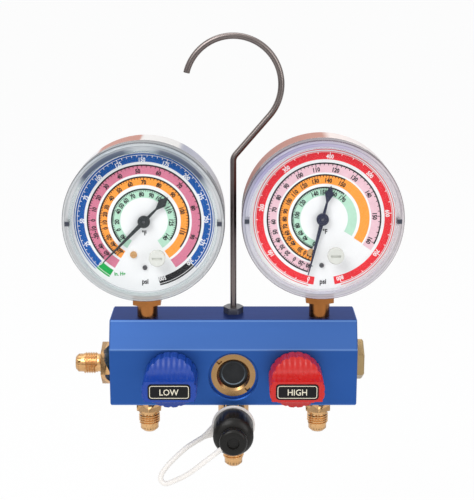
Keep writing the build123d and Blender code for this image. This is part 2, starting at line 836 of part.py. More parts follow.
def at_angle(radius, angle, centre):
    return (centre[0] + radius * cos(angle), centre[1] + radius * sin(angle))


dial_screws = []
calibration_screws = []
movement_screws = []
case_screws = []
pillars = []

for name, side in sides.items():
    gauge_x = side * gauge_pitch / 2
    lift = high_gauge_lift if name == "high" else 0.0
    gauge_z = dial_z + lift
    stem_z = block_top + lift
    gauge_axis = Axis((gauge_x, 0, gauge_z), (0, 1, 0))
    case_bottom = gauge_z - case_radius
    zero_angle = low_zero_angle if name == "low" else high_zero_angle
    meridian = along((gauge_x, dial_y, gauge_z), (0, 1, 0))

    with BuildPart() as socket:
        with BuildSketch(Plane.XY.offset(stem_z - socket_thread_depth)):
            with Locations((gauge_x, port_y)):
                Circle(socket_thread_top / 2)
        extrude(amount=socket_thread_depth + gauge_height - case_radius - socket_gap - 2.0)
        with BuildSketch(Plane.XY.offset(case_bottom - socket_gap - socket_hex_height)):
            with Locations((gauge_x, port_y)):
                RegularPolygon(socket_hex_flats / 2, 6, major_radius=False, rotation=30)
        extrude(amount=socket_hex_height)
        with BuildSketch(Plane.XY.offset(case_bottom - socket_gap)):
            with Locations((gauge_x, port_y)):
                Circle(socket_half_width)
        extrude(amount=socket_gap + case_wall + 1.2)
        with BuildSketch(Plane.XY.offset(case_bottom + case_wall + 1.2)):
            with Locations((gauge_x, port_y)):
                Rectangle(2 * socket_half_width, 2 * socket_half_depth)
        extrude(amount=gauge_z + holder_top - case_bottom - case_wall - 1.2)
        # step that the movement stands on
        with BuildSketch(facing(gauge_x, dial_y + back_plate_depth + plate_thickness, gauge_z)):
            with Locations((0, (holder_top + holder_shelf) / 2 + 2)):
                Rectangle(3 * socket_half_width, holder_top - holder_shelf + 4)
        extrude(amount=10.0, mode=Mode.SUBTRACT)
        # seat for the tube root
        with BuildSketch(radial((gauge_x, dial_y, gauge_z), tube_root_angle + 1.0)):
            with Locations((tube_place, tube_radius)):
                SlotOverall(tube_width + 2 * running_fit, tube_thickness + 2 * running_fit)
        revolve(axis=gauge_axis, revolution_arc=25, mode=Mode.SUBTRACT)
        # pressure bore
        with BuildSketch(Plane.XY.offset(stem_z - socket_thread_depth)):
            with Locations((gauge_x, port_y)):
                Circle(socket_bore / 2)
        extrude(amount=socket_thread_depth + gauge_height - tube_radius - 0.5, mode=Mode.SUBTRACT)
        # tapped holes for the movement screws in front and the case screws behind
        for places, start in (
            (movement_screw_places, dial_y + back_plate_depth + plate_thickness),
            (case_screw_places, dial_y + holder_back),
        ):
            toward = -1 if places is movement_screw_places else 1
            with BuildSketch(facing(gauge_x, start + toward, gauge_z)):
                with Locations(*places):
                    Circle(small_screw_radius + running_fit)
            extrude(amount=toward * (screw_grip + 2.6), mode=Mode.SUBTRACT)
    save(socket.part, f"{name}_gauge_socket")

    with BuildPart() as case:
        with BuildSketch(facing(gauge_x, dial_y + case_depth, gauge_z)):
            Circle(case_radius)
        extrude(amount=case_depth - case_seat)
        fillet(case.faces().sort_by(Axis.Y)[-1].edges(), radius=2.5)
        with BuildSketch(facing(gauge_x, dial_y + case_seat, gauge_z)):
            Circle(case_rim_radius)
            with Locations((0, 0)):
                Rectangle(2 * case_radius - 0.6, tab_width)
        extrude(amount=case_rim_length)
        # hollow behind the ledge, ledge opening, dial seat
        hollow_length = case_depth - case_wall - dial_thickness - ledge_width
        for start, radius, reach in (
            (case_depth - case_wall, case_radius - case_wall, hollow_length),
            (case_depth - case_wall, dial_radius - ledge_width, 2 * case_depth),
            (dial_thickness, dial_radius + running_fit, 2 * case_depth),
        ):
            with BuildSketch(facing(gauge_x, dial_y + start, gauge_z)):
                Circle(radius)
            extrude(amount=reach, mode=Mode.SUBTRACT)
        # bosses for the case screws
        with BuildSketch(facing(gauge_x, dial_y + case_depth - case_wall, gauge_z)):
            with Locations(*case_screw_places):
                Circle(2.4)
        extrude(amount=case_depth - case_wall - holder_back)
        with BuildSketch(facing(gauge_x, dial_y + case_depth, gauge_z)):
            with Locations(*case_screw_places):
                Circle(small_screw_radius + running_fit)
        extrude(amount=case_depth - holder_back, mode=Mode.SUBTRACT)
        # hole for the socket
        with BuildSketch(Plane.XY.offset(case_bottom - 1.0)):
            with Locations((gauge_x, port_y)):
                Circle(socket_half_width + running_fit)
        extrude(amount=case_wall + 3.0, mode=Mode.SUBTRACT)
        # bottom vent slot
        with BuildSketch(facing(gauge_x, dial_y + case_depth + 1, gauge_z)):
            with Locations((0, relief_rise)):
                Circle(relief_radius)
        extrude(amount=case_wall + 2, mode=Mode.SUBTRACT)
    save(case.part, f"{name}_gauge_case")

    with BuildPart() as relief:
        with BuildSketch(facing(gauge_x, dial_y + case_depth + 0.4, gauge_z)):
            with Locations((0, relief_rise)):
                Circle(relief_radius + relief_flange)
        extrude(amount=0.4)
        with BuildSketch(facing(gauge_x, dial_y + case_depth, gauge_z)):
            with Locations((0, relief_rise)):
                Circle(relief_radius - running_fit)
        extrude(amount=case_wall)
    save(relief.part, f"{name}_relief_plug")

    with BuildPart() as lens:
        with BuildSketch(facing(gauge_x, dial_y + case_seat - 0.1, gauge_z)):
            Circle(lens_radius)
        extrude(amount=case_seat - 0.1 + lens_front)
        fillet(lens.faces().sort_by(Axis.Y)[0].edges(), radius=lens_edge_radius)
        with BuildSketch(facing(gauge_x, dial_y + case_seat, gauge_z)):
            Circle(case_rim_radius + 0.1)
            Rectangle(3 * lens_radius, tab_width + 0.4)
        extrude(amount=case_rim_length + 0.2, mode=Mode.SUBTRACT)
        with BuildSketch(facing(gauge_x, dial_y, gauge_z)):
            Circle(dial_radius + 0.3)
        extrude(amount=lens_front - lens_thickness, mode=Mode.SUBTRACT)
        with BuildSketch(facing(gauge_x, dial_y, gauge_z)):
            with Locations(plug_place):
                Circle(plug_diameter / 2 + running_fit)
        extrude(amount=lens_front + 1, mode=Mode.SUBTRACT)
    save(lens.part, f"{name}_gauge_lens")

    with BuildPart() as plug:
        with BuildSketch(facing(gauge_x, dial_y - lens_front + lens_thickness + 0.4, gauge_z)):
            with Locations(plug_place):
                Circle(plug_diameter / 2)
        extrude(amount=lens_thickness + 0.8)
        chamfer(plug.faces().sort_by(Axis.Y)[0].edges(), length=0.4)
        with BuildSketch(facing(gauge_x, dial_y - lens_front - 0.4, gauge_z)):
            with Locations(plug_place):
                Rectangle(plug_diameter * 0.6, 1.2)
        extrude(amount=-0.8, mode=Mode.SUBTRACT)
    save(plug.part, f"{name}_lens_plug")

    with BuildPart() as dial:
        with BuildSketch(facing(gauge_x, dial_y + dial_thickness, gauge_z)):
            Circle(dial_radius)
            Circle(1.4, mode=Mode.SUBTRACT)
            with Locations((0, -dial_screw_drop)):
                Circle(0.85, mode=Mode.SUBTRACT)
            with Locations(calibration_place):
                Circle(1.2, mode=Mode.SUBTRACT)
        extrude(amount=dial_thickness)
    save(dial.part, f"{name}_gauge_dial")

    # bridge plates of the movement, with the holes that they share
    for plate_name, depth, drop in (("front", front_plate_depth, 2.4 - plate_bottom), ("back", back_plate_depth, -plate_bottom)):
        with BuildPart() as plate:
            with BuildSketch(facing(gauge_x, dial_y + depth + plate_thickness, gauge_z)):
                with Locations((0, (plate_top - 20.0) / 2 - 1.4)):
                    RectangleRounded(2 * plate_half_width, plate_top + 22.8, 2.5)
                with Locations((0, -(drop + 16) / 2)):
                    RectangleRounded(10.6, drop - 16, 1.0)
                for place, radius in (
                    ((0, 0), arbor_diameter / 2),
                    ((0, -sector_drop), sector_arbor_diameter / 2),
                ):
                    with Locations(place):
                        Circle(radius + running_fit, mode=Mode.SUBTRACT)
                with Locations(*pillar_places):
                    Circle(pillar_diameter / 4 + running_fit, mode=Mode.SUBTRACT)
                if plate_name == "front":
                    with Locations((0, -dial_screw_drop)):
                        Circle(0.85, mode=Mode.SUBTRACT)
                    with Locations(calibration_place):
                        Circle(1.2, mode=Mode.SUBTRACT)
                else:
                    with Locations(*movement_screw_places):
                        Circle(small_screw_radius + running_fit, mode=Mode.SUBTRACT)
            extrude(amount=plate_thickness)
        save(plate.part, f"{name}_movement_{plate_name}_plate")

    # screws and pillars, kept as groups of equal pieces
    for group, places, start, head_radius, head_height, shank_radius, reach, toward in (
        (dial_screws, ((0, -dial_screw_drop),), 0.0, 1.2, 0.7, 0.8, front_plate_depth + plate_thickness, -1),
        (calibration_screws, (calibration_place,), 0.0, 1.75, 0.6, 1.15, front_plate_depth + plate_thickness, -1),
        (movement_screws, movement_screw_places, back_plate_depth, small_head_radius, 1.1, small_screw_radius,
         plate_thickness + screw_grip, -1),
        (case_screws, case_screw_places, case_depth, small_head_radius + 0.4, 1.4, small_screw_radius,
         case_depth - holder_back + screw_grip, 1),
    ):
        for place in places:
            with BuildPart() as screw:
                with BuildSketch(facing(gauge_x, dial_y + start, gauge_z)):
                    with Locations(place):
                        Circle(head_radius)
                extrude(amount=-toward * head_height)
                with BuildSketch(facing(gauge_x, dial_y + start + toward * head_height, gauge_z)):
                    with Locations(place):
                        Rectangle(3 * head_radius, 0.4 * head_radius)
                extrude(amount=toward * head_height * 0.5, mode=Mode.SUBTRACT)
                with BuildSketch(facing(gauge_x, dial_y + start, gauge_z)):
                    with Locations(place):
                        Circle(shank_radius)
                extrude(amount=toward * reach)
            group.append(screw.part)
    for place in pillar_places:
        with BuildPart() as pillar:
            with BuildSketch(facing(gauge_x, dial_y + back_plate_depth, gauge_z)):
                with Locations(place):
                    Circle(pillar_diameter / 2)
            extrude(amount=back_plate_depth - front_plate_depth - plate_thickness)
            with BuildSketch(facing(gauge_x, dial_y + back_plate_depth + plate_thickness, gauge_z)):
                with Locations(place):
                    Circle(pillar_diameter / 4)
            extrude(amount=back_plate_depth - front_plate_depth + plate_thickness)
        pillars.append(pillar.part)

    with BuildPart() as tube:
        with BuildSketch(radial((gauge_x, dial_y, gauge_z), tube_root_angle)):
            with Locations((tube_place, tube_radius)):
                SlotOverall(tube_width, tube_thickness)
                SlotOverall(tube_width - 2 * tube_wall, tube_thickness - 2 * tube_wall, mode=Mode.SUBTRACT)
        revolve(axis=gauge_axis, revolution_arc=tube_root_angle - tube_end_angle)
        # closed tip with the pin that the link hangs on
        tip = []
        for radius, angle in (
            (tube_radius + tube_thickness / 2, tube_end_angle + 1.0),
            (tube_radius + tube_thickness / 2, tube_end_angle - 8.0),
            (tip_radius - 1.4, tip_angle - 3.6),
            (tip_radius - 1.4, tip_angle + 3.6),
            (tube_radius - tube_thickness / 2 - 0.6, tube_end_angle + 1.0),
        ):
            tip.append(at_angle(radius, radians(angle), (0, 0)))
        with BuildSketch(facing(gauge_x, dial_y + tube_front + tube_width - 1.4, gauge_z)):
            Polygon(*tip, align=None)
        extrude(amount=tube_width - 1.4 - sector_pin_reach)
        with BuildSketch(facing(gauge_x, dial_y + tube_front + tube_width - 1.4, gauge_z)):
            with Locations(at_angle(tip_radius, radians(tip_angle), (0, 0))):
                Circle(pin_radius)
        extrude(amount=tube_width - 1.4 + 0.3)
    save(tube.part, f"{name}_bourdon_tube")

    with BuildPart() as arbor:
        with BuildSketch(facing(gauge_x, dial_y + back_plate_depth + plate_thickness, gauge_z)):
            Circle(arbor_diameter / 2)
        extrude(amount=back_plate_depth + plate_thickness + pointer_lift + 1.4)
        profile = []
        for tooth in range(pinion_teeth):
            direction = radians(270 + (tooth + 0.5) * 360 / pinion_teeth)
            profile += [at_angle(r, a, (0, 0)) for r, a in tooth_profile(pinion_teeth, direction)]
        with BuildSketch(facing(gauge_x, dial_y + sector_depth + sector_thickness + 0.6, gauge_z)):
            Polygon(*profile, align=None)
        extrude(amount=sector_thickness + 1.2)
    save(arbor.part, f"{name}_pinion_arbor")

    with BuildPart() as sector:
        tooth_step = 360 / sector_wheel_teeth
        profile = []
        for tooth in reversed(range(sector_first_tooth, sector_first_tooth + sector_cut_teeth)):
            direction = radians(90 - tooth * tooth_step)
            profile += [at_angle(r, a, (0, -sector_drop)) for r, a in tooth_profile(sector_wheel_teeth, direction)]
        profile.append((-2.4, -sector_drop - 0.6))
        profile.append((2.0, -sector_drop - 2.0))
        with BuildSketch(facing(gauge_x, dial_y + sector_depth + sector_thickness, gauge_z)):
            Polygon(*profile, align=None)
            with Locations((0, -sector_drop)):
                Circle(2.6)
            # opening that lightens the sector
            opening = []
            first = radians(90 - (sector_first_tooth + 1.4) * tooth_step)
            last = radians(90 - (sector_first_tooth + sector_cut_teeth - 2.4) * tooth_step)
            for radius, angle in ((13.8, last), (13.8, (first + last) / 2), (13.8, first), (6.2, (first + last) / 2)):
                opening.append(at_angle(radius, angle, (0, -sector_drop)))
            Polygon(*opening, align=None, mode=Mode.SUBTRACT)
            with Locations((0, -sector_drop)):
                with Locations(Rotation(0, 0, tail_angle)):
                    with Locations((tail_length / 2, 0)):
                        SlotOverall(tail_length + 2.4, 2.4)
        extrude(amount=sector_thickness)
        tail = at_angle(tail_length, radians(tail_angle), (0, -sector_drop))
        with BuildSketch(facing(gauge_x, dial_y + link_depth + link_thickness + 0.3, gauge_z)):
            with Locations(tail):
                Circle(pin_radius)
        extrude(amount=link_depth + link_thickness + 0.3 - sector_depth - 0.4)
        with BuildSketch(facing(gauge_x, dial_y + back_plate_depth + plate_thickness, gauge_z)):
            with Locations((0, -sector_drop)):
                Circle(sector_arbor_diameter / 2)
        extrude(amount=back_plate_depth + plate_thickness - front_plate_depth)
    save(sector.part, f"{name}_sector_gear")

    with BuildPart() as link:
        tip = at_angle(tip_radius, radians(tip_angle), (0, 0))
        middle = ((tail[0] + tip[0]) / 2, (tail[1] + tip[1]) / 2)
        span = sqrt((tip[0] - tail[0]) ** 2 + (tip[1] - tail[1]) ** 2)
        slope = degrees(asin((tip[1] - tail[1]) / span))
        with BuildSketch(facing(gauge_x, dial_y + link_depth + link_thickness, gauge_z)):
            with Locations(middle):
                with Locations(Rotation(0, 0, slope)):
                    SlotOverall(span + link_width, link_width)
            with Locations(tail, tip):
                Circle(pin_radius + running_fit, mode=Mode.SUBTRACT)
        extrude(amount=link_thickness)
    save(link.part, f"{name}_link")

    with BuildPart() as pointer:
        zero = radians(zero_angle)
        with BuildSketch(facing(gauge_x, dial_y - pointer_lift, gauge_z)):
            needle = []
            for radius, offset in (
                (needle_reach, 0.25), (needle_reach, -0.25), (3.0, -1.0), (-9.0, -0.5),
                (-13.2, -2.2), (-tail_reach, 0.0), (-13.2, 2.2), (-9.0, 0.5), (3.0, 1.0),
            ):
                point = at_angle(radius, zero, (0, 0))
                needle.append(at_angle(offset, zero + radians(90), point))
            Polygon(*needle, align=None)
        extrude(amount=pointer_thickness)
        with BuildSketch(facing(gauge_x, dial_y - pointer_lift, gauge_z)):
            Circle(pointer_hub_radius)
        extrude(amount=1.4)
        chamfer(pointer.faces().sort_by(Axis.Y)[0].edges(), length=0.3)
        with BuildSketch(facing(gauge_x, dial_y - pointer_lift, gauge_z)):
            Circle(arbor_diameter / 2 + running_fit)
        extrude(amount=3.0, mode=Mode.SUBTRACT)
    save(pointer.part, f"{name}_gauge_pointer")

for group, name in (
    (dial_screws, "dial_screws"),
    (calibration_screws, "calibration_screws"),
    (movement_screws, "movement_screws"),
    (case_screws, "case_screws"),
    (pillars, "movement_pillars"),
):
    save(Compound(children=group), name)
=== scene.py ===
# %% [markdown]
# A refrigerant manifold gauge set: two round gauges on an anodised aluminium bar, with two valve knobs, a sight
# glass, brass flare ports, a tethered cap and a wire hook. The solids arrive finished, as a fixed frame. This lesson
# gives them their surfaces, cuts the threads, prints the dials and lights the set as in a studio.

# %% Load the frame
import bpy
from math import cos, pi, radians, sin
from mathutils import Matrix, Vector


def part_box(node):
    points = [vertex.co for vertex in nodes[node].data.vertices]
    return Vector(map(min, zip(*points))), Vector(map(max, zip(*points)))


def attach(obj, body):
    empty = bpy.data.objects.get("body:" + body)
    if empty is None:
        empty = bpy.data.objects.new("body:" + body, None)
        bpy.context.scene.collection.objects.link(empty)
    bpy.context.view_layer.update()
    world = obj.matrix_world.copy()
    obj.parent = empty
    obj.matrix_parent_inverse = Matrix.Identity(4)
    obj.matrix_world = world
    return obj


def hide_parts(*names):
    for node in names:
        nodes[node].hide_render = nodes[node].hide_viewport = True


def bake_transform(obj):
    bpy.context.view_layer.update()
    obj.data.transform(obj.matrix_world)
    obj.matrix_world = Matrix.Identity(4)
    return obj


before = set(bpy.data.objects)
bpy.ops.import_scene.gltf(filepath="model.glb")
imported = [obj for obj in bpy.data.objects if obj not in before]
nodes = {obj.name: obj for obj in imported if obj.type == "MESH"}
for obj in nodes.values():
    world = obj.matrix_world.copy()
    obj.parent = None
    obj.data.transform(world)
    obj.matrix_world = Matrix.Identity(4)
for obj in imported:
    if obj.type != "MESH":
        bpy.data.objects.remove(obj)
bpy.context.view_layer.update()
mm = 0.001

# %% [markdown]
# The camera stands about 60 cm in front of the set and a little above it, and looks down by 14 degrees, as a
# catalogue picture does. A long lens keeps the two dials round. Its length is known in pixels of a frame 500 high,
# and the height of the sensor makes millimetres of it.

# %% Camera
frame_height = 500
focal_pixels = 1203.278
sensor_height = 36.0
look_down = 14.278

camera_data = bpy.data.cameras.new("studio_camera")
camera = bpy.data.objects.new("studio_camera", camera_data)
bpy.context.scene.collection.objects.link(camera)
camera_data.sensor_fit = "VERTICAL"
camera_data.sensor_height = sensor_height
camera_data.lens = focal_pixels / frame_height * sensor_height
camera_data.clip_start = 0.01
camera.location = (0.00188, -0.60164, 0.04554)
camera.rotation_euler = (radians(90 - look_down), 0, 0)
bpy.context.scene.camera = camera
print("lens", round(camera_data.lens, 2), "mm")

# %% [markdown]
# Materials and the world are trees of nodes. Four helpers keep them short: one starts a material, one adds a node
# and fills its inputs, and two add the kinds used most, a sum and a mix of two colours.

# %% Node helpers
def new_material(name, inputs):
    """A material with nodes, its tree and its shader, some of whose inputs are set."""
    material = bpy.data.materials.new(name)
    material.use_nodes = True
    shader = material.node_tree.nodes["Principled BSDF"]
    for socket, value in inputs.items():
        shader.inputs[socket].default_value = value
    return material, material.node_tree, shader


def add_node(tree, kind, inputs=(), **settings):
    """Adds a node with its settings. inputs pairs a socket's name or number with a value, or a socket to link."""
    node = tree.nodes.new("ShaderNode" + kind)
    for name, value in settings.items():
        setattr(node, name, value)
    for name, value in dict(inputs).items():
        if isinstance(value, bpy.types.NodeSocket):
            tree.links.new(value, node.inputs[name])
        else:
            node.inputs[name].default_value = value
    return node


def work_out(tree, operation, *values, clamp=False):
    """The output of a Math node, from sockets or plain numbers."""
    return add_node(tree, "Math", enumerate(values), operation=operation, use_clamp=clamp).outputs[0]


def mix_colours(tree, share, first, second, how="MIX"):
    """The output of a colour Mix node, where a share of 0 gives the first colour and 1 the second."""
    inputs = {"Factor": share, "A": first, "B": second}
    return add_node(tree, "Mix", inputs, data_type="RGBA", blend_type=how).outputs["Result"]


# %% [markdown]
# The world shows white to the camera, to mirrors and to glass, and gives plain light to everything else. So the
# background is white, with no more light on the set than it needs.

# %% World
def white_where(tree, seen, plain, white, surface):
    """Sends white to the surface where seen is 1, and the plain shader elsewhere."""
    mix = add_node(tree, "MixShader", {0: seen, 1: plain.outputs[0], 2: white.outputs[0]})
    tree.links.new(mix.outputs[0], surface)


world = bpy.data.worlds.new("studio_world")
bpy.context.scene.world = world
world.use_nodes = True
world_tree = world.node_tree
ambient = world_tree.nodes["Background"]
ambient.inputs["Color"].default_value = (0.95, 0.97, 1.0, 1)
ambient.inputs["Strength"].default_value = 0.5
rays = add_node(world_tree, "LightPath").outputs
seen = work_out(world_tree, "MAXIMUM", rays["Is Camera Ray"], rays["Is Glossy Ray"])
seen = work_out(world_tree, "MAXIMUM", seen, rays["Is Transmission Ray"])
white = add_node(world_tree, "Background", {"Color": (1, 1, 1, 1), "Strength": 1.0})
white_where(world_tree, seen, ambient, white, world_tree.nodes["World Output"].inputs["Surface"])
print("world", world.name)

# %% [markdown]
# The set hangs from its hook, so the floor lies a hand's width below it. It is a wide flat grid. A little of its plain
# paint stays in what the camera sees, which keeps the shadow.

# %% Floor
def select_nothing():
    """Deselects every object, so that an operator acts on the new one alone."""
    bpy.ops.object.select_all(action="DESELECT")


floor_height = -0.32
floor_size = 30.0
select_nothing()
bpy.ops.mesh.primitive_grid_add(x_subdivisions=4, y_subdivisions=4, size=floor_size, location=(0, 0, floor_height))
floor = bpy.context.object
floor.name = "studio_floor"
plain_grey = {"Base Color": (0.9, 0.9, 0.9, 1), "Roughness": 0.9}
floor_paint, floor_tree, floor_shader = new_material("floor_paint", plain_grey)
white_share = 0.95
seen = work_out(floor_tree, "MULTIPLY", add_node(floor_tree, "LightPath").outputs["Is Camera Ray"], white_share)
white = add_node(floor_tree, "Emission", {"Strength": 1.0})
white_where(floor_tree, seen, floor_shader, white, floor_tree.nodes["Material Output"].inputs["Surface"])
floor.data.materials.append(floor_paint)
print("floor at", floor_height)

# %% [markdown]
# Three soft boxes light the set, as in a studio: a key from the upper left, a weaker fill from the right, and one
# above that lifts the top faces from the background.

# %% Soft boxes
def softbox(name, place, aim, width, height, watts):
    """A rectangular lamp at a place, turned to its aim."""
    data = bpy.data.lights.new(name, "AREA")
    data.shape = "RECTANGLE"
    data.size = width
    data.size_y = height
    data.energy = watts
    lamp = bpy.data.objects.new(name, data)
    bpy.context.scene.collection.objects.link(lamp)
    lamp.location = place
    lamp.rotation_euler = (Vector(aim) - Vector(place)).to_track_quat("-Z", "Y").to_euler()


centre = (0, 0, -0.1)
softbox("key_softbox", (-0.55, -0.75, 0.75), centre, 0.7, 0.7, 9.0)
softbox("fill_softbox", (0.8, -0.7, 0.25), centre, 0.6, 0.8, 3.6)
softbox("top_softbox", (0.0, 0.15, 0.9), centre, 0.9, 0.5, 4.0)

# %% [markdown]
# In a white room polished metal needs something dark to mirror, or it looks like paper. Studios hang black
# cards beside the camera, out of the picture. These three do the same, at the left, at the right and low in front.
# Only mirrors see them.

# %% Black cards
card_black = new_material("card_black", {"Base Color": (0.02, 0.02, 0.025, 1), "Roughness": 1.0})[0]


def black_card(name, place, lean, width, height):
    """An upright card, turned by some degrees, which neither the camera nor plain light sees."""
    select_nothing()
    turn = (radians(90), 0, radians(lean))
    bpy.ops.mesh.primitive_grid_add(x_subdivisions=2, y_subdivisions=2, size=1.0, location=place, rotation=turn)
    card = bpy.context.object
    card.name = name
    card.scale = (width, height, 1)
    card.visible_camera = False
    card.visible_shadow = False
    card.visible_diffuse = False
    card.data.materials.append(card_black)
    print(name, "at", place)


black_card("card_left", (-1.1, -0.35, 0.0), 70, 0.5, 1.2)
black_card("card_right", (1.1, -0.35, 0.0), -70, 0.5, 1.2)
black_card("card_front", (0.0, -1.5, -0.35), 0, 1.4, 0.5)

# %% [markdown]
# Materials. Every finish starts from the same few parts: a colour that drifts a little with soft noise, a roughness
# that drifts with it, and a fine bump. They all read Object coordinates, so the pattern sits still on the piece.

# %% A maker of finishes
def raise_bump(tree, shader, height, strength, distance=0.0002):
    """A bump from a height socket, laid over any bump that the shader has already."""
    relief = add_node(tree, "Bump", {"Strength": strength, "Distance": distance, "Height": height})
    for under in shader.inputs["Normal"].links:
        tree.links.new(under.from_socket, relief.inputs["Normal"])
    tree.links.new(relief.outputs[0], shader.inputs["Normal"])


def finish(name, colour, other, metallic=0.0, roughness=0.4, spread=0.08, grain=400.0, bump=0.05,
           stretch=(1, 1, 1), broad=60.0, shine=0.5):
    """A material whose colour runs between two tones, with fine grain in its roughness and bump."""
    material, tree, shader = new_material(name, {"Metallic": metallic, "Specular IOR Level": shine})
    where = add_node(tree, "TexCoord").outputs["Object"]
    place = add_node(tree, "Mapping", {"Vector": where, "Scale": stretch}).outputs[0]
    soft = add_node(tree, "TexNoise", {"Vector": place, "Scale": broad, "Detail": 3.0})
    tone = add_node(tree, "ValToRGB", {0: soft.outputs["Fac"]})
    for element, at, shade in zip(tone.color_ramp.elements, (0.3, 0.7), (colour, other)):
        element.position = at
        element.color = (*shade, 1)
    tree.links.new(tone.outputs[0], shader.inputs["Base Color"])
    fine = add_node(tree, "TexNoise", {"Vector": place, "Scale": grain, "Detail": 2.0}).outputs["Fac"]
    smoothest = max(0.02, roughness - spread)
    rough = add_node(tree, "MapRange", {"Value": fine, "To Min": smoothest, "To Max": roughness + spread})
    tree.links.new(rough.outputs[0], shader.inputs["Roughness"])
    raise_bump(tree, shader, fine, bump)
    return material


def both(*names):
    """The names of pieces on the low and on the high side."""
    return [side + "_" + name for name in names for side in ("low", "high")]


def wear(*names, material):
    """Gives CAD nodes a finish in place of the plain one they came with."""
    for name in names:
        mesh = nodes[name].data
        mesh.materials.clear()
        mesh.materials.append(material)


# %% [markdown]
# Some colours change along a piece, such as the painted highlights along the edges of the bar. A ramp turns a measure
# of the surface, such as its height, into a colour, from listed stops.

# %% Ramps
def ramp(tree, source, stops, low=0.0, high=1.0):
    """A colour ramp over a range of values, from (value, colour) stops."""
    share = add_node(tree, "MapRange", {"Value": source, "From Min": low, "From Max": high}).outputs[0]
    colours = add_node(tree, "ValToRGB", {0: share})
    elements = colours.color_ramp.elements
    elements.remove(elements[-1])
    for index, (value, colour) in enumerate(stops):
        at = (value - low) / (high - low)
        element = elements[0] if index == 0 else elements.new(at)
        element.position = at
        element.color = (*colour, 1)
    return colours.outputs[0]


def grey(*stops):
    """Ramp stops from (place, value) pairs."""
    return [(place, (value, value, value)) for place, value in stops]


# %% [markdown]
# The bar is extruded aluminium, brushed along its length and anodised blue. The noise is stretched along X, which
# leaves long faint scratches, and the metal under the dye keeps its shine. Pale lines along the long edges are painted
# highlights, and the top face is painted darker, as shade. Both follow the height, in metres.

# %% Anodised bar
anodised_blue = finish("anodised_blue", (0.021, 0.085, 0.315), (0.026, 0.097, 0.345), metallic=0.6, roughness=0.36,
                       spread=0.04, stretch=(0.04, 1, 1), grain=900.0, bump=0.06, broad=45.0)
bar_tree = anodised_blue.node_tree
bar_shader = bar_tree.nodes["Principled BSDF"]
bar_dye = bar_shader.inputs["Base Color"].links[0].from_socket
bar_place = add_node(bar_tree, "TexCoord").outputs["Object"]
bar_height = add_node(bar_tree, "SeparateXYZ", {0: bar_place}).outputs["Z"]
# painted highlights: pale lines at the bottom edge, the ridge between the front faces and the top edge
bar_highlight_stops = grey((-0.186, 0), (-0.1849, 0.3), (-0.1845, 0), (-0.156, 0), (-0.1553, 0.5), (-0.1546, 0.12),
                (-0.1422, 0.1), (-0.1417, 0.5), (-0.1412, 0.0), (-0.141, 0.1))
highlight_share = ramp(bar_tree, bar_height, bar_highlight_stops, -0.1872, -0.1402)
highlighted = mix_colours(bar_tree, highlight_share, bar_dye, (0.25, 0.42, 0.75, 1))
# painted shade: the top face is made darker than the front
top_face_share = add_node(bar_tree, "MapRange", {"Value": bar_height, "From Min": -0.14118, "From Max": -0.14106}).outputs[0]
top_shaded = mix_colours(bar_tree, top_face_share, highlighted, (0.01, 0.024, 0.12, 1))
bar_tree.links.new(top_shaded, bar_shader.inputs["Base Color"])
# the dye tints the glancing shine as well
bar_shader.inputs["Specular Tint"].default_value = (0.35, 0.5, 1.0, 1)
wear("manifold_block", material=anodised_blue)
print("bar", anodised_blue.name, "stops", len(bar_highlight_stops))

# %% [markdown]
# Brass turns up in four tones: yellow on the ports and the movement, redder and oiled on the gauge sockets, olive on
# the end plug, and aged on the ring of the sight glass. All are turned on a lathe, so their grain is fine and even.
# The hook is drawn steel wire, and the screws and the nut are a darker steel.

# %% Metals
yellow_brass = finish("yellow_brass", (0.74, 0.45, 0.21), (0.62, 0.35, 0.15), metallic=1.0, roughness=0.24,
                      spread=0.04, bump=0.02)
red_brass = finish("red_brass", (0.3, 0.112, 0.03), (0.38, 0.15, 0.045), metallic=1.0, roughness=0.24,
                   spread=0.04, bump=0.02)
olive_brass = finish("olive_brass", (0.42, 0.3, 0.15), (0.34, 0.24, 0.12), metallic=1.0, roughness=0.33,
                     spread=0.04, bump=0.03)
aged_brass = finish("aged_brass", (0.34, 0.2, 0.085), (0.42, 0.25, 0.11), metallic=1.0, roughness=0.26,
                    spread=0.04, bump=0.02)
drawn_steel = finish("drawn_steel", (0.16, 0.135, 0.13), (0.21, 0.18, 0.17), metallic=1.0, roughness=0.3,
                     spread=0.04, stretch=(1, 1, 0.1), bump=0.02)
dark_steel = finish("dark_steel", (0.1, 0.1, 0.11), (0.16, 0.16, 0.17), metallic=0.9, roughness=0.35)
wear("side_port_fitting", "centre_tee", "movement_pillars", "calibration_screws",
     *both("port_fitting", "movement_front_plate", "movement_back_plate", "sector_gear", "link", "valve_bonnet",
           "valve_stem", "valve_piston"), material=yellow_brass)
wear(*both("gauge_socket", "bourdon_tube"), material=red_brass)
wear("end_plug", material=olive_brass)
wear("sight_glass_ring", material=aged_brass)
wear("hanging_hook", material=drawn_steel)
wear("hook_nut", "dial_screws", "movement_screws", "case_screws", *both("pinion_arbor", "knob_screw"),
     material=dark_steel)
print("metals", 6)

# %% [markdown]
# Plastics and rubber. The knobs are glossy and strongly coloured, the cap is a softer black, and the tether is a
# milky plastic. So thin a strap looks the same with a warm near-white and no scattering inside, which keeps the noise
# low.

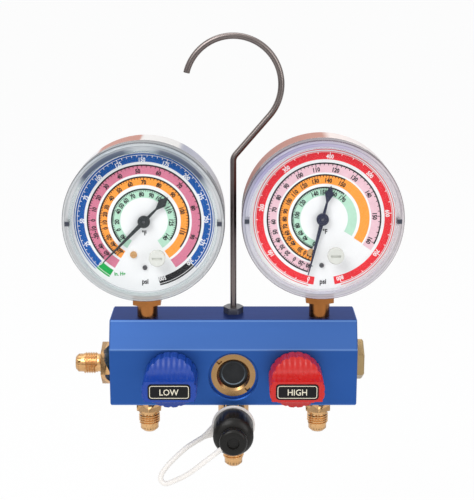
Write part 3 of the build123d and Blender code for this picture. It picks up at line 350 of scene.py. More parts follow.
# %% Plastics and rubber
knob_blue = finish("knob_blue", (0.006, 0.042, 0.29), (0.009, 0.052, 0.33), roughness=0.34, bump=0.02, shine=0.35)
knob_red = finish("knob_red", (0.5, 0.01, 0.008), (0.58, 0.014, 0.01), roughness=0.3, bump=0.02, shine=0.4)
soft_black = finish("soft_black", (0.006, 0.006, 0.005), (0.011, 0.01, 0.009), roughness=0.34, bump=0.03, shine=0.22)
seal_rubber = finish("seal_rubber", (0.012, 0.012, 0.012), (0.02, 0.02, 0.02), roughness=0.7, bump=0.3)
milky_plastic = finish("milky_plastic", (0.88, 0.84, 0.8), (0.83, 0.79, 0.74), roughness=0.42, grain=90.0, bump=0.005)
plate_black = finish("plate_black", (0.006, 0.006, 0.007), (0.01, 0.01, 0.011), roughness=0.3, bump=0.02, shine=0.15)
pointer_black = finish("pointer_black", (0.025, 0.03, 0.032), (0.035, 0.04, 0.042), roughness=0.4, bump=0.02, shine=0.2)
pointer_navy = finish("pointer_navy", (0.022, 0.025, 0.05), (0.03, 0.034, 0.066), roughness=0.4, bump=0.02, shine=0.2)
print("plastics and rubber", 8)

# %% [markdown]
# The knobs have faint grip ribs on their scooped sides. A wave of bands, centred on the knob, gives them as a bump. A
# wave texture of scale 1 has 20 / (2 pi) bands to the metre, so the scale follows from the distance between ribs.

# %% Ribs and seals
rib_distance = 0.0027


def add_ribs(material, across):
    """Faint grip ribs that run up and down a knob whose middle is that far across."""
    tree = material.node_tree
    where = add_node(tree, "TexCoord").outputs["Object"]
    shift = add_node(tree, "Mapping", {"Vector": where, "Location": (-across, 0, 0)}).outputs[0]
    bands = {"Vector": shift, "Scale": 2 * pi / (20 * rib_distance), "Phase Offset": pi}
    ribs = add_node(tree, "TexWave", bands, wave_type="BANDS", bands_direction="X")
    raise_bump(tree, tree.nodes["Principled BSDF"], ribs.outputs["Fac"], 0.35, 0.0004)


for side, material in (("low", knob_blue), ("high", knob_red)):
    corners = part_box(side + "_valve_knob")
    add_ribs(material, (corners[0].x + corners[1].x) / 2)
    wear(side + "_valve_knob", material=material)
wear("port_cap", material=soft_black)
wear("cap_gasket", "sight_glass_seal", "stem_seals", *both("piston_seal", "relief_plug"), material=seal_rubber)
wear(*both("label_plate"), material=plate_black)
wear("low_gauge_pointer", material=pointer_black)
wear("high_gauge_pointer", material=pointer_navy)
print("ribs", rib_distance * 1000, "mm apart")

# %% [markdown]
# The dial is a white printed disc. It is left a shade under pure white, so that it doesn't glare in the light.

# %% Dial discs
dial_white = finish("dial_white", (0.84, 0.85, 0.85), (0.88, 0.89, 0.89), roughness=0.5, bump=0.01, shine=0.2)
wear(*both("gauge_dial"), material=dial_white)
print("dial discs", 2)

# %% [markdown]
# The gauge case and the lens are one visual problem: a clear plastic cap over a pale bowl. The middle of the lens is
# nearly invisible, while its rim is seen edge on and shows pale bands with darker slate arcs, which are painted
# reflections of the room. Both are painted by distance and angle from the gauge's own centre, so the bands follow the
# rim all the way round.

# %% Rim bands by radius and angle
def gauge_centre(side):
    low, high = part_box(side + "_gauge_dial")
    return (low + high) / 2


def polar(tree, middle):
    """Sockets for the radius in millimetres, the turn, 0 to 1 clockwise from straight down, and the depth."""
    where = add_node(tree, "TexCoord").outputs["Object"]
    inputs = {"Vector": where, "Location": [-value * 1000 for value in middle], "Scale": (1000, 1000, 1000)}
    parts = add_node(tree, "SeparateXYZ", {0: add_node(tree, "Mapping", inputs).outputs[0]}).outputs
    flat = add_node(tree, "CombineXYZ", {"X": parts["X"], "Z": parts["Z"]}).outputs[0]
    radius = add_node(tree, "VectorMath", {0: flat}, operation="LENGTH").outputs["Value"]
    turn = work_out(tree, "ARCTAN2", parts["X"], parts["Z"])
    return radius, work_out(tree, "MULTIPLY_ADD", turn, 1 / (2 * pi), 0.5), parts["Y"]


def add_grain(tree, shader, scale, strength):
    """A bump of even noise."""
    where = add_node(tree, "TexCoord").outputs["Object"]
    grain = add_node(tree, "TexNoise", {"Vector": where, "Scale": scale}).outputs["Fac"]
    raise_bump(tree, shader, grain, strength)


# %% [markdown]
# Each plastic is built from those measures. The lens is almost clear in its middle and denser towards its rim, and
# painted dark, as shade, at its snap tabs. The case has a dark line at its seam, and painted shade along its back edge.

# %% Lens and case plastics
rim_reach = (34.0, 41.0)
tab_reach = grey((34.0, 0), (36.3, 0), (36.5, 1), (38.8, 1), (39.0, 0))
tab_turns = grey((0.0, 0), (0.243, 0), (0.2445, 1), (0.2555, 1), (0.257, 0), (0.743, 0), (0.7445, 1), (0.7555, 1),
                 (0.757, 0), (1.0, 0))


def lens_plastic(name, middle, around, rim_bands, rim_density, crescent, shade, shade_colour):
    """Clear in the middle and banded at the rim with painted reflections, and darker crescents where the rim mirrors
    the room.
    """
    material, tree, shader = new_material(name, {"Roughness": 0.06, "IOR": 1.49})
    radius, turn, _ = polar(tree, middle)
    bands = ramp(tree, radius, rim_bands, *rim_reach)
    # painted reflection: the rim bands and the tints by turn
    reflection_tinted = mix_colours(tree, 1.0, bands, ramp(tree, turn, around), "MULTIPLY")
    # painted reflection: darker crescents where the rim mirrors darker parts of the room
    mask = mix_colours(tree, 1.0, ramp(tree, radius, crescent, *rim_reach), ramp(tree, turn, shade), "MULTIPLY")
    shaded = mix_colours(tree, mask, reflection_tinted, (*shade_colour, 1))
    # painted shade: the lens is dark and denser where the snap tabs sit behind it
    tab = work_out(tree, "MULTIPLY", ramp(tree, radius, tab_reach, *rim_reach), ramp(tree, turn, tab_turns))
    tab_shaded = mix_colours(tree, tab, shaded, (0.035, 0.04, 0.06, 1))
    tree.links.new(tab_shaded, shader.inputs["Base Color"])
    dense = work_out(tree, "ADD", mask, ramp(tree, radius, rim_density, *rim_reach), clamp=True)
    tree.links.new(work_out(tree, "MULTIPLY_ADD", tab, 0.6, dense, clamp=True), shader.inputs["Alpha"])
    add_grain(tree, shader, 90.0, 0.03)
    return material


def case_plastic(name, middle, around):
    """The bowl behind the lens: painted reflections by turn, a dark seam line and painted shade at the back edge."""
    material, tree, shader = new_material(name, {"Roughness": 0.3, "Specular IOR Level": 0.15})
    radius, turn, depth = polar(tree, middle)
    # painted shade: the line along the back edge; the seam line is a dark joint
    plain, seam, back_edge_shade = (1, 1, 1), (0.35, 0.33, 0.35), (0.4, 0.38, 0.4)
    along = [(0.0, plain), (2.2, plain), (2.4, seam), (3.0, seam), (3.3, plain), (21.4, plain), (21.9, back_edge_shade),
             (23.0, back_edge_shade)]
    # painted reflection: the tints by turn on the side wall
    reflection_tinted = mix_colours(tree, 1.0, ramp(tree, depth, along, -3.0, 24.0), ramp(tree, turn, around), "MULTIPLY")
    wall = ramp(tree, radius, grey((38.0, 0), (39.3, 0), (39.6, 1)), 37.0, 41.0)
    tree.links.new(mix_colours(tree, wall, (0.72, 0.73, 0.75, 1), reflection_tinted), shader.inputs["Base Color"])
    add_grain(tree, shader, 700.0, 0.05)
    return material


# %% [markdown]
# The tints are given for each gauge, and are painted reflections of the room on the lens rims and the case walls.
# "around" runs clockwise from straight down, and the bands run outward, in millimetres. Both cases have a red stretch.
# The low lens has slate arcs, and the high one is rosier.

# %% Tints of the two gauges
pale = (0.9, 0.91, 0.92)
mist = (0.9, 0.93, 0.92)
low_lens_reflections = [(0.0, mist), (0.2, pale), (0.32, pale), (0.42, (0.62, 0.68, 0.74)), (0.5, (0.75, 0.78, 0.8)),
              (0.58, (0.62, 0.68, 0.74)), (0.68, pale), (0.8, pale), (1.0, mist)]
low_bands = [(34.0, (1, 1, 1)), (35.3, (0.95, 0.97, 0.97)), (35.45, (0.3, 0.36, 0.38)), (35.8, (0.62, 0.7, 0.69)),
             (37.0, (0.72, 0.79, 0.78)), (37.2, (1, 1, 1)), (38.5, (0.98, 0.98, 0.98)), (38.7, (0.35, 0.37, 0.38)),
             (39.0, (0.97, 0.98, 0.98)), (39.8, (0.93, 0.94, 0.94)), (40.0, (0.2, 0.2, 0.21))]
low_density = grey((34.0, 0.008), (35.2, 0.02), (35.45, 0.55), (35.8, 0.3), (37.0, 0.32), (38.4, 0.42), (38.7, 0.6),
                   (39.0, 0.5), (39.9, 0.55), (40.15, 0.75))
low_crescent = grey((34.0, 0), (35.55, 0), (35.75, 1), (37.8, 1), (38.05, 0))
low_shade = grey((0.0, 0), (0.33, 0), (0.36, 0.9), (0.46, 0.8), (0.485, 0.1), (0.515, 0.1), (0.54, 0.8), (0.64, 0.9),
                 (0.675, 0), (1.0, 0))
low_case_reflections = [(0.0, pale), (0.4, (0.72, 0.71, 0.72)), (0.41, (0.4, 0.12, 0.07)), (0.492, (0.4, 0.12, 0.07)),
                   (0.497, (0.68, 0.66, 0.64)), (0.57, (0.68, 0.66, 0.64)), (0.58, (0.26, 0.27, 0.36)),
                   (0.63, (0.4, 0.4, 0.48)), (0.7, (0.8, 0.8, 0.82)), (1.0, pale)]
rosy = (0.86, 0.78, 0.8)
high_lens_reflections = [(0.0, (0.85, 0.86, 0.93)), (0.15, pale), (0.25, (0.78, 0.8, 0.9)), (0.36, (0.5, 0.5, 0.68)),
               (0.45, (0.62, 0.6, 0.74)), (0.55, (0.72, 0.68, 0.76)), (0.62, rosy), (0.8, (0.92, 0.87, 0.86)),
               (1.0, (0.85, 0.86, 0.93))]
high_bands = [(34.0, (1, 1, 1)), (36.2, (0.97, 0.97, 1)), (36.5, (0.6, 0.58, 0.66)), (36.9, (0.95, 0.92, 0.96)),
              (38.4, (1, 0.98, 1)), (38.7, (0.4, 0.38, 0.46)), (39.0, (0.97, 0.95, 0.98)), (39.8, (0.93, 0.91, 0.94)),
              (40.0, (0.22, 0.16, 0.18))]
high_density = grey((34.0, 0.008), (36.2, 0.02), (36.5, 0.35), (37.0, 0.32), (38.4, 0.42), (38.7, 0.55), (39.0, 0.5),
                    (39.9, 0.55), (40.15, 0.7))
high_crescent = grey((34.0, 0), (37.2, 0), (37.4, 1), (38.6, 1), (38.8, 0))
high_shade = grey((0.0, 0), (0.3, 0), (0.34, 0.55), (0.42, 0.7), (0.55, 0.5), (0.6, 0.25), (0.64, 0.0), (1.0, 0))
high_case_reflections = [(0.0, pale), (0.18, (0.75, 0.7, 0.72)), (0.22, (0.05, 0.02, 0.02)), (0.285, (0.06, 0.02, 0.02)),
                    (0.3, (0.3, 0.07, 0.04)), (0.4, (0.35, 0.09, 0.05)), (0.5, (0.4, 0.13, 0.075)),
                    (0.515, (0.78, 0.66, 0.62)), (0.6, (0.76, 0.69, 0.68)), (0.8, rosy), (1.0, pale)]
looks = {
    "low": (low_lens_reflections, low_bands, low_density, low_crescent, low_shade, (0.014, 0.024, 0.075), low_case_reflections),
    "high": (high_lens_reflections, high_bands, high_density, high_crescent, high_shade, (0.26, 0.22, 0.38), high_case_reflections),
}
for side, (*lens_look, case_tints) in looks.items():
    middle = gauge_centre(side)
    wear(side + "_gauge_lens", material=lens_plastic(side + "_lens_plastic", middle, *lens_look))
    wear(side + "_gauge_case", material=case_plastic(side + "_case_plastic", middle, case_tints))
plug_plastic = finish("plug_plastic", (0.62, 0.63, 0.58), (0.7, 0.71, 0.66), roughness=0.25, bump=0.05)
wear(*both("lens_plug"), material=plug_plastic)
print("gauge plastics", 2 * len(looks) + 1)

# %% [markdown]
# The sight glass is a thick disc over a dark chamber, and is coloured near black as painted shade of that chamber. Only
# its lower lip catches light, so a thin pale arc is painted near the edge of the bore, stronger towards the foot.

# %% Sight glass
# painted shade: the glass is near black for the dark chamber behind it
sight_glass_shade = finish("sight_glass_shade", (0.004, 0.005, 0.006), (0.014, 0.016, 0.018), roughness=0.08, spread=0.03,
                    bump=0.01, broad=150.0, shine=0.25)
sight_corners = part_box("sight_glass")
sight_tree = sight_glass_shade.node_tree
sight_shader = sight_tree.nodes["Principled BSDF"]
sight_base = sight_shader.inputs["Base Color"].links[0].from_socket
sight_radius, sight_turn, _ = polar(sight_tree, (sight_corners[0] + sight_corners[1]) / 2)
lip = ramp(sight_tree, sight_radius, grey((0.0, 0), (5.6, 0), (6.0, 1), (6.4, 0), (10.0, 0)), 0.0, 10.0)
foot = ramp(sight_tree, sight_turn, grey((0.0, 0.9), (0.12, 0.8), (0.26, 0.15), (0.5, 0.05), (0.74, 0.15),
                                         (0.88, 0.8), (1.0, 0.9)))
gleam = work_out(sight_tree, "MULTIPLY", lip, foot)
glassy = mix_colours(sight_tree, gleam, sight_base, (0.3, 0.4, 0.48, 1))
sight_tree.links.new(glassy, sight_shader.inputs["Base Color"])
wear("sight_glass", material=sight_glass_shade)
print("sight glass", sight_glass_shade.name)

# %% [markdown]
# The pieces from here on are modelled as by hand, in edit mode and with modifiers. These helpers save repeating how
# an object is selected or copied, how its mesh is opened and closed, and how a modifier is applied.

# %% Mesh helpers
def only_this(thing):
    """Selects one object and nothing else."""
    select_nothing()
    thing.select_set(True)
    bpy.context.view_layer.objects.active = thing


def copy_of(thing):
    """A copy of an object with a mesh of its own."""
    copy = thing.copy()
    copy.data = thing.data.copy()
    bpy.context.scene.collection.objects.link(copy)
    return copy


def edit(action="SELECT", by=None):
    """Opens the active mesh for editing, with all or none of it selected, by vertices, edges or faces."""
    bpy.ops.object.mode_set(mode="EDIT")
    if by:
        bpy.ops.mesh.select_mode(type=by)
    bpy.ops.mesh.select_all(action=action)


def end_edit():
    bpy.ops.object.mode_set(mode="OBJECT")


def apply_modifier(thing, kind, **settings):
    """Adds a modifier to the active object and applies it."""
    modifier = thing.modifiers.new(kind.lower(), kind)
    for name, value in settings.items():
        setattr(modifier, name, value)
    bpy.ops.object.modifier_apply(modifier=modifier.name)


# %% [markdown]
# Each coloured scale is a thin ring of ink on the white disc. A ring is made from a single upright edge which the
# spin tool sweeps about the dial's centre, and Solidify gives the sheet its thickness. Angles count clockwise from
# straight down, as the needle does. The high dial's print sits a little off its disc's middle.

# %% Ring maker
def ink(name, *rgb):
    """Printing ink from a colour in 0 to 255, slightly uneven as screen print is."""
    linear = [((c / 255 + 0.055) / 1.055) ** 2.4 if c > 10 else c / 255 / 12.92 for c in rgb]
    return finish(name, linear, [min(1.0, c * 1.07 + 0.003) for c in linear], roughness=0.48, bump=0.01, broad=500.0,
                  shine=0.2)


ink_thickness = 0.012
degrees_per_step = 3
dial_middle = {"low": gauge_centre("low"), "high": gauge_centre("high") + Vector((0.8, 0, -0.2)) * mm}
dial_face = {side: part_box(side + "_gauge_dial")[0].y for side in ("low", "high")}


def on_dial(side, coat):
    """The middle of a dial's print, a coat in front of its face."""
    return Vector((dial_middle[side].x, dial_face[side] - coat * mm, dial_middle[side].z))


def print_ring(side, inner, outer, start, stop, coat, material):
    """A ring of ink between two radii and two angles, in millimetres and degrees."""
    select_nothing()
    bpy.ops.mesh.primitive_plane_add(size=(outer - inner) * mm, location=(0, 0, 0))
    ring = bpy.context.object
    edit("DESELECT", by="VERT")
    end_edit()
    for point in ring.data.vertices:
        point.select = point.co.x > 0
    bpy.ops.object.mode_set(mode="EDIT")
    bpy.ops.mesh.delete(type="VERT")
    end_edit()
    half = (outer - inner) * mm / 2
    reach = (inner + outer) / 2 * mm
    lean = radians(start)
    outward = Vector((-sin(lean), 0, -cos(lean)))
    ends = sorted(ring.data.vertices, key=lambda point: point.co.y)
    place = on_dial(side, coat)
    for point, distance in zip(ends, (reach - half, reach + half)):
        point.co = place + outward * distance
    edit()
    steps = max(2, round((stop - start) / degrees_per_step))
    bpy.ops.mesh.spin(steps=steps, angle=-radians(stop - start), center=place, axis=(0, 1, 0))
    bpy.ops.mesh.select_all(action="SELECT")
    bpy.ops.mesh.remove_doubles(threshold=1e-6)
    end_edit()
    if ring.data.polygons[0].normal.y > 0:
        ring.data.flip_normals()
    apply_modifier(ring, "SOLIDIFY", thickness=ink_thickness * mm, offset=1)
    ring.data.materials.append(material)
    return ring


def join(name, things, body="manifold", material=None):
    """Joins objects into one piece which rides on a body, and may give it a material."""
    select_nothing()
    for thing in things:
        thing.select_set(True)
    bpy.context.view_layer.objects.active = things[0]
    if len(things) > 1:
        bpy.ops.object.join()
    piece = bpy.context.view_layer.objects.active
    piece.name = name
    piece.data.name = name
    if material:
        piece.data.materials.clear()
        piece.data.materials.append(material)
    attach(piece, body)
    return piece


print("dial faces at", {side: round(value * 1000, 2) for side, value in dial_face.items()})

# %% [markdown]
# Scale marks and numbers. One mark is a small flat bar. It is modelled once, and each scale gets copies of it, as long
# and as wide as it needs, turned to their angles. Numbers are text objects, made a mesh and set round the dial, heads
# outward.

# %% Marks and numbers
def dial_frame(side, angle, radius, coat):
    """A matrix that stands a flat shape on the dial at an angle and radius, with its top outward."""
    lean = radians(angle)
    right = Vector((-cos(lean), 0, sin(lean)))
    up = Vector((-sin(lean), 0, -cos(lean)))
    place = on_dial(side, coat) + up * radius * mm
    turned = Matrix((right, up, Vector((0, -1, 0)))).transposed().to_4x4()
    return Matrix.Translation(place) @ turned


def scale_marks(name, side, marks, outer, width, coat, material):
    """Bars that hang inward from a radius. marks is a list of (angle, length)."""
    select_nothing()
    bpy.ops.mesh.primitive_plane_add(size=1, location=(0, 0, 0))
    first = bpy.context.object
    edit()
    bpy.ops.mesh.extrude_region_move(TRANSFORM_OT_translate={"value": (0, 0, 1)})
    end_edit()
    made = []
    for angle, length in marks:
        bar = copy_of(first)
        size = Matrix.Diagonal((width * mm, length * mm, ink_thickness * mm, 1))
        bar.data.transform(dial_frame(side, angle, outer - length / 2, coat) @ size)
        made.append(bar)
    bpy.data.objects.remove(first)
    join(name, made, material=material)


def lettering(words, height, narrow=0.84, weight=0.032):
    """A word as a thin mesh, centred at the origin in the XY plane, its letters of a given height in metres."""
    capital = 0.72
    select_nothing()
    bpy.ops.object.text_add(location=(0, 0, 0))
    text = bpy.context.object.data
    text.body = words
    text.align_x = "CENTER"
    text.offset = weight
    text.extrude = 0.004
    text.resolution_u = 2
    bpy.ops.object.convert(target="MESH")
    word = bpy.context.object
    wide = [point.co.x for point in word.data.vertices]
    factor = height / capital
    middle = Matrix.Translation((-(max(wide) + min(wide)) / 2, -capital / 2, 0))
    word.data.transform(Matrix.Diagonal((factor * narrow, factor, factor, 1)) @ middle)
    return word


def numbers(name, side, list_of, radius, height, coat, material, weight=0.045):
    """Numbers round a dial, from a list of (number, angle)."""
    made = []
    for number, angle in list_of:
        word = lettering(str(number), height * mm, weight=weight)
        word.data.transform(dial_frame(side, angle, radius, coat))
        made.append(word)
    join(name, made, material=material)


def between(list_of, step):
    """Angles for every step of a scale, read between its numbered marks. Numbered marks get a longer bar."""
    closest, long_bar, short_bar = 1.9, 2.0, 1.45
    marks = []
    for (low, start), (high, stop) in zip(list_of, list_of[1:]):
        count = max(1, round((high - low) / step))
        while count > 2 and (stop - start) / count < closest:
            count //= 2
        for index in range(count):
            marks.append((start + (stop - start) * index / count, long_bar if index == 0 else short_bar))
    marks.append((list_of[-1][1], long_bar))
    return marks


# %% [markdown]
# Both dials carry three temperature scales, each a coloured band with a thin black line at its outer edge. The print
# lies in four coats, each a little further out from the disc, so none fights with the one below.

# %% Temperature scales
band_coat, line_coat, mark_coat, number_coat = 0.03, 0.05, 0.06, 0.07
line_width, mark_width, number_height = 0.72, 0.34, 2.15
print_white = ink("print_white", 246, 246, 246)
print_black = ink("print_black", 22, 22, 26)


def temperature_scales(side, scales, rings):
    """Prints the rings of a dial with their lines, marks and numbers, and counts the marks."""
    count = 0
    for colour, (material, inner, outer, start, stop, line_start, line_stop, radius) in rings.items():
        name = side + "_" + colour
        join(name + "_band", [print_ring(side, inner, outer, start, stop, band_coat, material)])
        line = print_ring(side, outer - line_width, outer, line_start, line_stop, line_coat, print_black)
        join(name + "_line", [line])
        marks = between(scales[colour], 2)
        scale_marks(name + "_marks", side, marks, outer, mark_width, line_coat, print_black)
        numbers(name + "_numbers", side, scales[colour], radius, number_height, mark_coat, print_black)
        count += len(marks)
    return count


# %% [markdown]
# The low gauge reads vacuum and pressure up to 300, with a black zone past the end of its scale. Inside the blue
# pressure band lie three temperature scales in pink, orange and mint.

# %% Low dial
print_green = ink("print_green", 15, 165, 75)
low_blue = ink("low_blue_ink", 5, 85, 165)
low_pink = ink("low_pink_ink", 208, 120, 145)
orange_ink = ink("orange_ink", 248, 155, 60)
mint_ink = ink("mint_ink", 178, 218, 195)

low_scales = {
    "pink": [(-60, 48.5), (-40, 58.4), (-20, 72), (-10, 80.3), (0, 90.7), (10, 103.6), (20, 117.9), (30, 133.6),
             (40, 152.6), (50, 174), (60, 197.4), (70, 225), (80, 255), (90, 288.7)],
    "orange": [(-60, 38), (-40, 51.9), (-20, 64), (0, 79), (10, 88.2), (20, 100), (30, 111), (40, 125.6), (50, 142.4),
               (60, 160.5), (70, 180.5), (80, 203), (90, 227.4), (100, 254.9), (115, 285.9)],
    "mint": [(-40, 50.7), (0, 70.5), (20, 88), (40, 110.7), (50, 124.8), (60, 139.4), (70, 156.6), (80, 175.6),
             (90, 196.4), (100, 215.7), (110, 246.2), (125, 273.9), (140, 307.4)],
}
low_rings = {
    "pink": (low_pink, 23.8, 28.6, 32, 327, 47, 311, 25.4),
    "orange": (orange_ink, 18.3, 22.65, 32, 327, 41, 307, 19.7),
    "mint": (mint_ink, 11.9, 16.5, 32, 327, 48, 306, 13.6),
}
low_band = (29.95, 34.25)
join("low_blue_band", [print_ring("low", *low_band, 45.4, 313, band_coat, low_blue),
                       print_ring("low", 34.75, 35.1, 45.4, 313, band_coat, low_blue)])
join("low_green_zone", [print_ring("low", *low_band, 32, 45.4, band_coat, print_green)])
join("low_black_zone", [print_ring("low", *low_band, 313, 347.2, band_coat, print_black)])
join("low_white_line", [print_ring("low", 33.2, 33.42, 32, 347.2, line_coat, print_white)])
low_count = temperature_scales("low", low_scales, low_rings)
low_pressure = [(25 * index, 45.4 + 22.3 * index) for index in range(13)]
marks = [(angle, length * 0.75) for angle, length in between(low_pressure, 5)]
scale_marks("low_pressure_marks", "low", marks, 33.4, 0.3, mark_coat, print_white)
numbers("low_pressure_numbers", "low", low_pressure + [(500, 343.6)], 31.05, 2.1, number_coat, print_white, 0.025)
print("low dial marks", low_count + len(marks))

# %% [markdown]
# The high gauge runs from 0 to 800 on a red band, with its own three temperature scales.

# %% High dial
high_red = ink("high_red_ink", 232, 45, 55)
high_pink = ink("high_pink_ink", 228, 190, 200)
high_scales = {
    "pink": [(-40, 16.3), (-20, 25.6), (0, 35.2), (20, 46), (30, 55.2), (40, 64.3), (50, 74.8), (60, 86.7), (70, 101),
             (80, 115.7), (90, 131.3), (100, 150.7), (110, 170.6), (120, 192.5), (130, 215.6), (140, 240.1),
             (150, 267), (160, 296)],
    "orange": [(-20, 19.6), (0, 28.3), (20, 36.7), (40, 50.5), (50, 59.5), (60, 68.6), (70, 79), (80, 90), (90, 101.6),
               (100, 116.9), (110, 132), (120, 148.9), (130, 166.8), (140, 185.7), (150, 206.5)],
    "mint": [(0, 20.8), (40, 42.8), (60, 57.9), (80, 75.5), (100, 98.8), (120, 127), (140, 160), (150, 178.7),
             (160, 199.8), (170, 221.1)],
}
high_rings = {
    "pink": (high_pink, 23.6, 28.6, 14.5, 304, 16, 297, 25.3),
    "orange": (orange_ink, 17.9, 22.7, 14, 303, 17, 207, 19.7),
    "mint": (mint_ink, 11.9, 16.4, 20, 302, 20, 217.5, 13.6),
}
join("high_red_band", [print_ring("high", 30.2, 34.3, 8, 350, band_coat, high_red),
                       print_ring("high", 35.0, 35.35, 12, 345, band_coat, high_red)])
high_count = temperature_scales("high", high_scales, high_rings)
high_pressure = [(0, 13.3), (100, 56.5), (200, 100.5), (300, 143.1), (400, 184.3), (500, 224.8), (600, 264.8),
                 (700, 303.3), (800, 344.3)]
marks = [(angle, length * 0.7) for angle, length in between(high_pressure, 25)]
scale_marks("high_pressure_marks", "high", marks, 34.0, 0.32, mark_coat, print_white)
join("high_white_line", [print_ring("high", 33.8, 34.0, 13.3, 344.3, line_coat, print_white)])
numbers("high_pressure_numbers", "high", high_pressure, 31.7, 2.1, number_coat, print_white, 0.025)
print("high dial marks", high_count + len(marks))

# %% [markdown]
# The units stand upright near the foot of each dial, and the temperature sign sits under the hub.

# %% Units
def stand_up(flat, middle, face, layer, across=0.0, up=0.0):
    """Stands a flat shape upright before a face, moved across and up by millimetres."""
    place = Vector((middle.x + across * mm, face - layer * mm, middle.z + up * mm))
    upright = Matrix(((1, 0, 0), (0, 0, -1), (0, 1, 0))).to_4x4()
    flat.data.transform(Matrix.Translation(place) @ upright)


def unit(name, words, side, across, up, height, material):
    """A unit printed on a dial."""
    word = lettering(words, height * mm)
    stand_up(word, dial_middle[side], dial_face[side], line_coat, across, up)
    word.data.materials.append(material)
    join(name, [word])


unit("low_degree_sign", "°F", "low", 0, -6.1, 2.4, print_black)
unit("low_unit", "psi", "low", 0, -31.2, 2.6, print_black)
unit("low_vacuum_unit", "in. Hg", "low", -12.7, -27.2, 2.0, print_green)
unit("high_degree_sign", "°F", "high", 0.6, -6.3, 2.4, print_black)
unit("high_unit", "psi", "high", 0.0, -32.2, 2.6, print_black)
print("units", 5)

# %% [markdown]
# Flare ports have a standard outside thread with 20 turns to the inch. On the solid it is a plain cylinder at the
# crest of the thread. Here a copy of each port is turned down to the root, and a helical ridge is laid round it with
# the Screw modifier, as a lathe tool would leave it.

# %% Threaded ports
def merged_copy(node, name):
    """A copy of a CAD node's mesh with its loose triangles merged."""
    copy = copy_of(nodes[node])
    copy.animation_data_clear()
    copy.parent = None
    copy.name = name
    copy.data.name = name
    copy.matrix_world = Matrix.Identity(4)
    only_this(copy)
    edit()
    bpy.ops.mesh.remove_doubles(threshold=2e-6)
    end_edit()
    return copy


pitch = 1.27
crest = 5.55
root = 4.95
# half the width of the ridge at its crest and at its foot, which sinks a little into the root
crest_half, foot_half, sunk = 0.12, 0.58, 0.12
steps_per_turn = 28


def thread_ridge(length):
    """A helical ridge about Z, from 0 up to a length in millimetres."""
    select_nothing()
    bpy.ops.mesh.primitive_circle_add(vertices=4, radius=1.0, location=(0, 0, 0))
    ridge = bpy.context.object
    corners = ((root - sunk, -foot_half), (crest, -crest_half), (crest, crest_half), (root - sunk, foot_half))
    for point, (out, along) in zip(ridge.data.vertices, corners):
        point.co = (out * mm, 0, (along + 0.6) * mm)
    turns = (length - 1.3) / pitch
    steps = round(steps_per_turn * turns)
    apply_modifier(ridge, "SCREW", angle=2 * pi * turns, screw_offset=pitch * mm * turns, iterations=1, steps=steps,
                   render_steps=steps)
    only_this(ridge)
    edit("DESELECT", by="EDGE")
    bpy.ops.mesh.select_non_manifold()
    bpy.ops.mesh.edge_face_add()
    bpy.ops.mesh.select_all(action="SELECT")
    bpy.ops.mesh.normals_make_consistent(inside=False)
    end_edit()
    return ridge


def threaded(node, name, base, heading, length):
    """A port with its thread cut. base is the thread's start in millimetres and heading points to the tip."""
    port = merged_copy(node, name)
    start = Vector(base) * mm
    axis = Vector(heading)
    count = 0
    for point in port.data.vertices:
        along = (point.co - start).dot(axis)
        across = point.co - start - axis * along
        if -0.05 * mm < along < (length + 0.05) * mm and 5.3 * mm < across.length < 5.7 * mm:
            point.co = start + axis * along + across.normalized() * root * mm
            count += 1
    ridge = thread_ridge(length)
    turn = axis.to_track_quat("Z", "Y").to_matrix().to_4x4()
    ridge.data.transform(Matrix.Translation(start) @ turn)
    ridge.data.materials.append(yellow_brass)
    piece = join(name, [port, ridge])
    only_this(piece)
    bpy.ops.object.shade_smooth_by_angle(angle=radians(32))
    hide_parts(node)
    print(name, "points turned down", count)


threaded("low_port_fitting", "low_port_threaded", (-44.45, -5.6, -194.0), (0, 0, -1), 6.3)
threaded("high_port_fitting", "high_port_threaded", (44.45, -5.6, -194.0), (0, 0, -1), 6.3)
threaded("side_port_fitting", "side_port_threaded", (-71.2, -2.9, -167.9), (-1, 0, 0), 7.4)
threaded("centre_tee", "centre_tee_threaded", (0.0, -5.6, -212.1), (0, 0, -1), 8.0)

# %% [markdown]
# The tether ties the cap to its port. It is one moulded strip of soft, milky plastic, with a ring at each end. It is
# made from three parts, which a fine voxel skin melts into one, as they are on the moulding. The first is the ring on
# the port: the solid tether is cut off behind it by bisect.

# %% Tether ring
cut_plane = -20.1
tether = merged_copy("cap_tether", "tether_strap")
edit()
bpy.ops.mesh.bisect(plane_co=(0, cut_plane * mm, 0), plane_no=(0, -1, 0), use_fill=True, clear_outer=True)
end_edit()
print("ring points", len(tether.data.vertices))

# %% [markdown]
# The second part is the strap, a round bevel on a smooth curve which loops out to the left and back to the cap. The
# curve's order and ends are set after its points, or it would stay a line of straight runs.

# %% Tether strap
# the way of the strap from the ring to the eye, from the port axis at the face of the bar, in millimetres
strap_way = [(-10.6, 0.3, -0.6), (-11.6, 0.2, -1.6), (-14.6, 0.0, -5.4), (-19.9, -1.0, -8.5), (-24.1, -2.2, -10.7),
             (-29.8, -4.0, -15.5), (-33.9, -5.8, -19.2), (-37.3, -7.8, -23.3), (-37.9, -9.2, -26.0),
             (-35.3, -10.6, -27.9), (-31.6, -11.8, -25.9), (-25.5, -13.6, -22.3), (-20.6, -15.0, -18.3),
             (-16.2, -16.4, -14.0), (-11.3, -17.4, -9.6), (-7.6, -18.1, -6.3), (-4.7, -18.2, -3.8)]
port_face, port_height = -19.5, -196.8
strap_radius = 1.42
select_nothing()
bpy.ops.curve.primitive_nurbs_path_add(location=(0, 0, 0))
strap = bpy.context.object
route = strap.data.splines[0]
route.points.add(len(strap_way) - len(route.points))
for point, (x, y, z) in zip(route.points, strap_way):
    point.co = (x * mm, (y + port_face) * mm, (z + port_height) * mm, 1)
route.order_u = 3
route.use_endpoint_u = True
route.resolution_u = 16
strap.data.bevel_depth = strap_radius * mm
strap.data.bevel_resolution = 5
strap.data.use_fill_caps = True
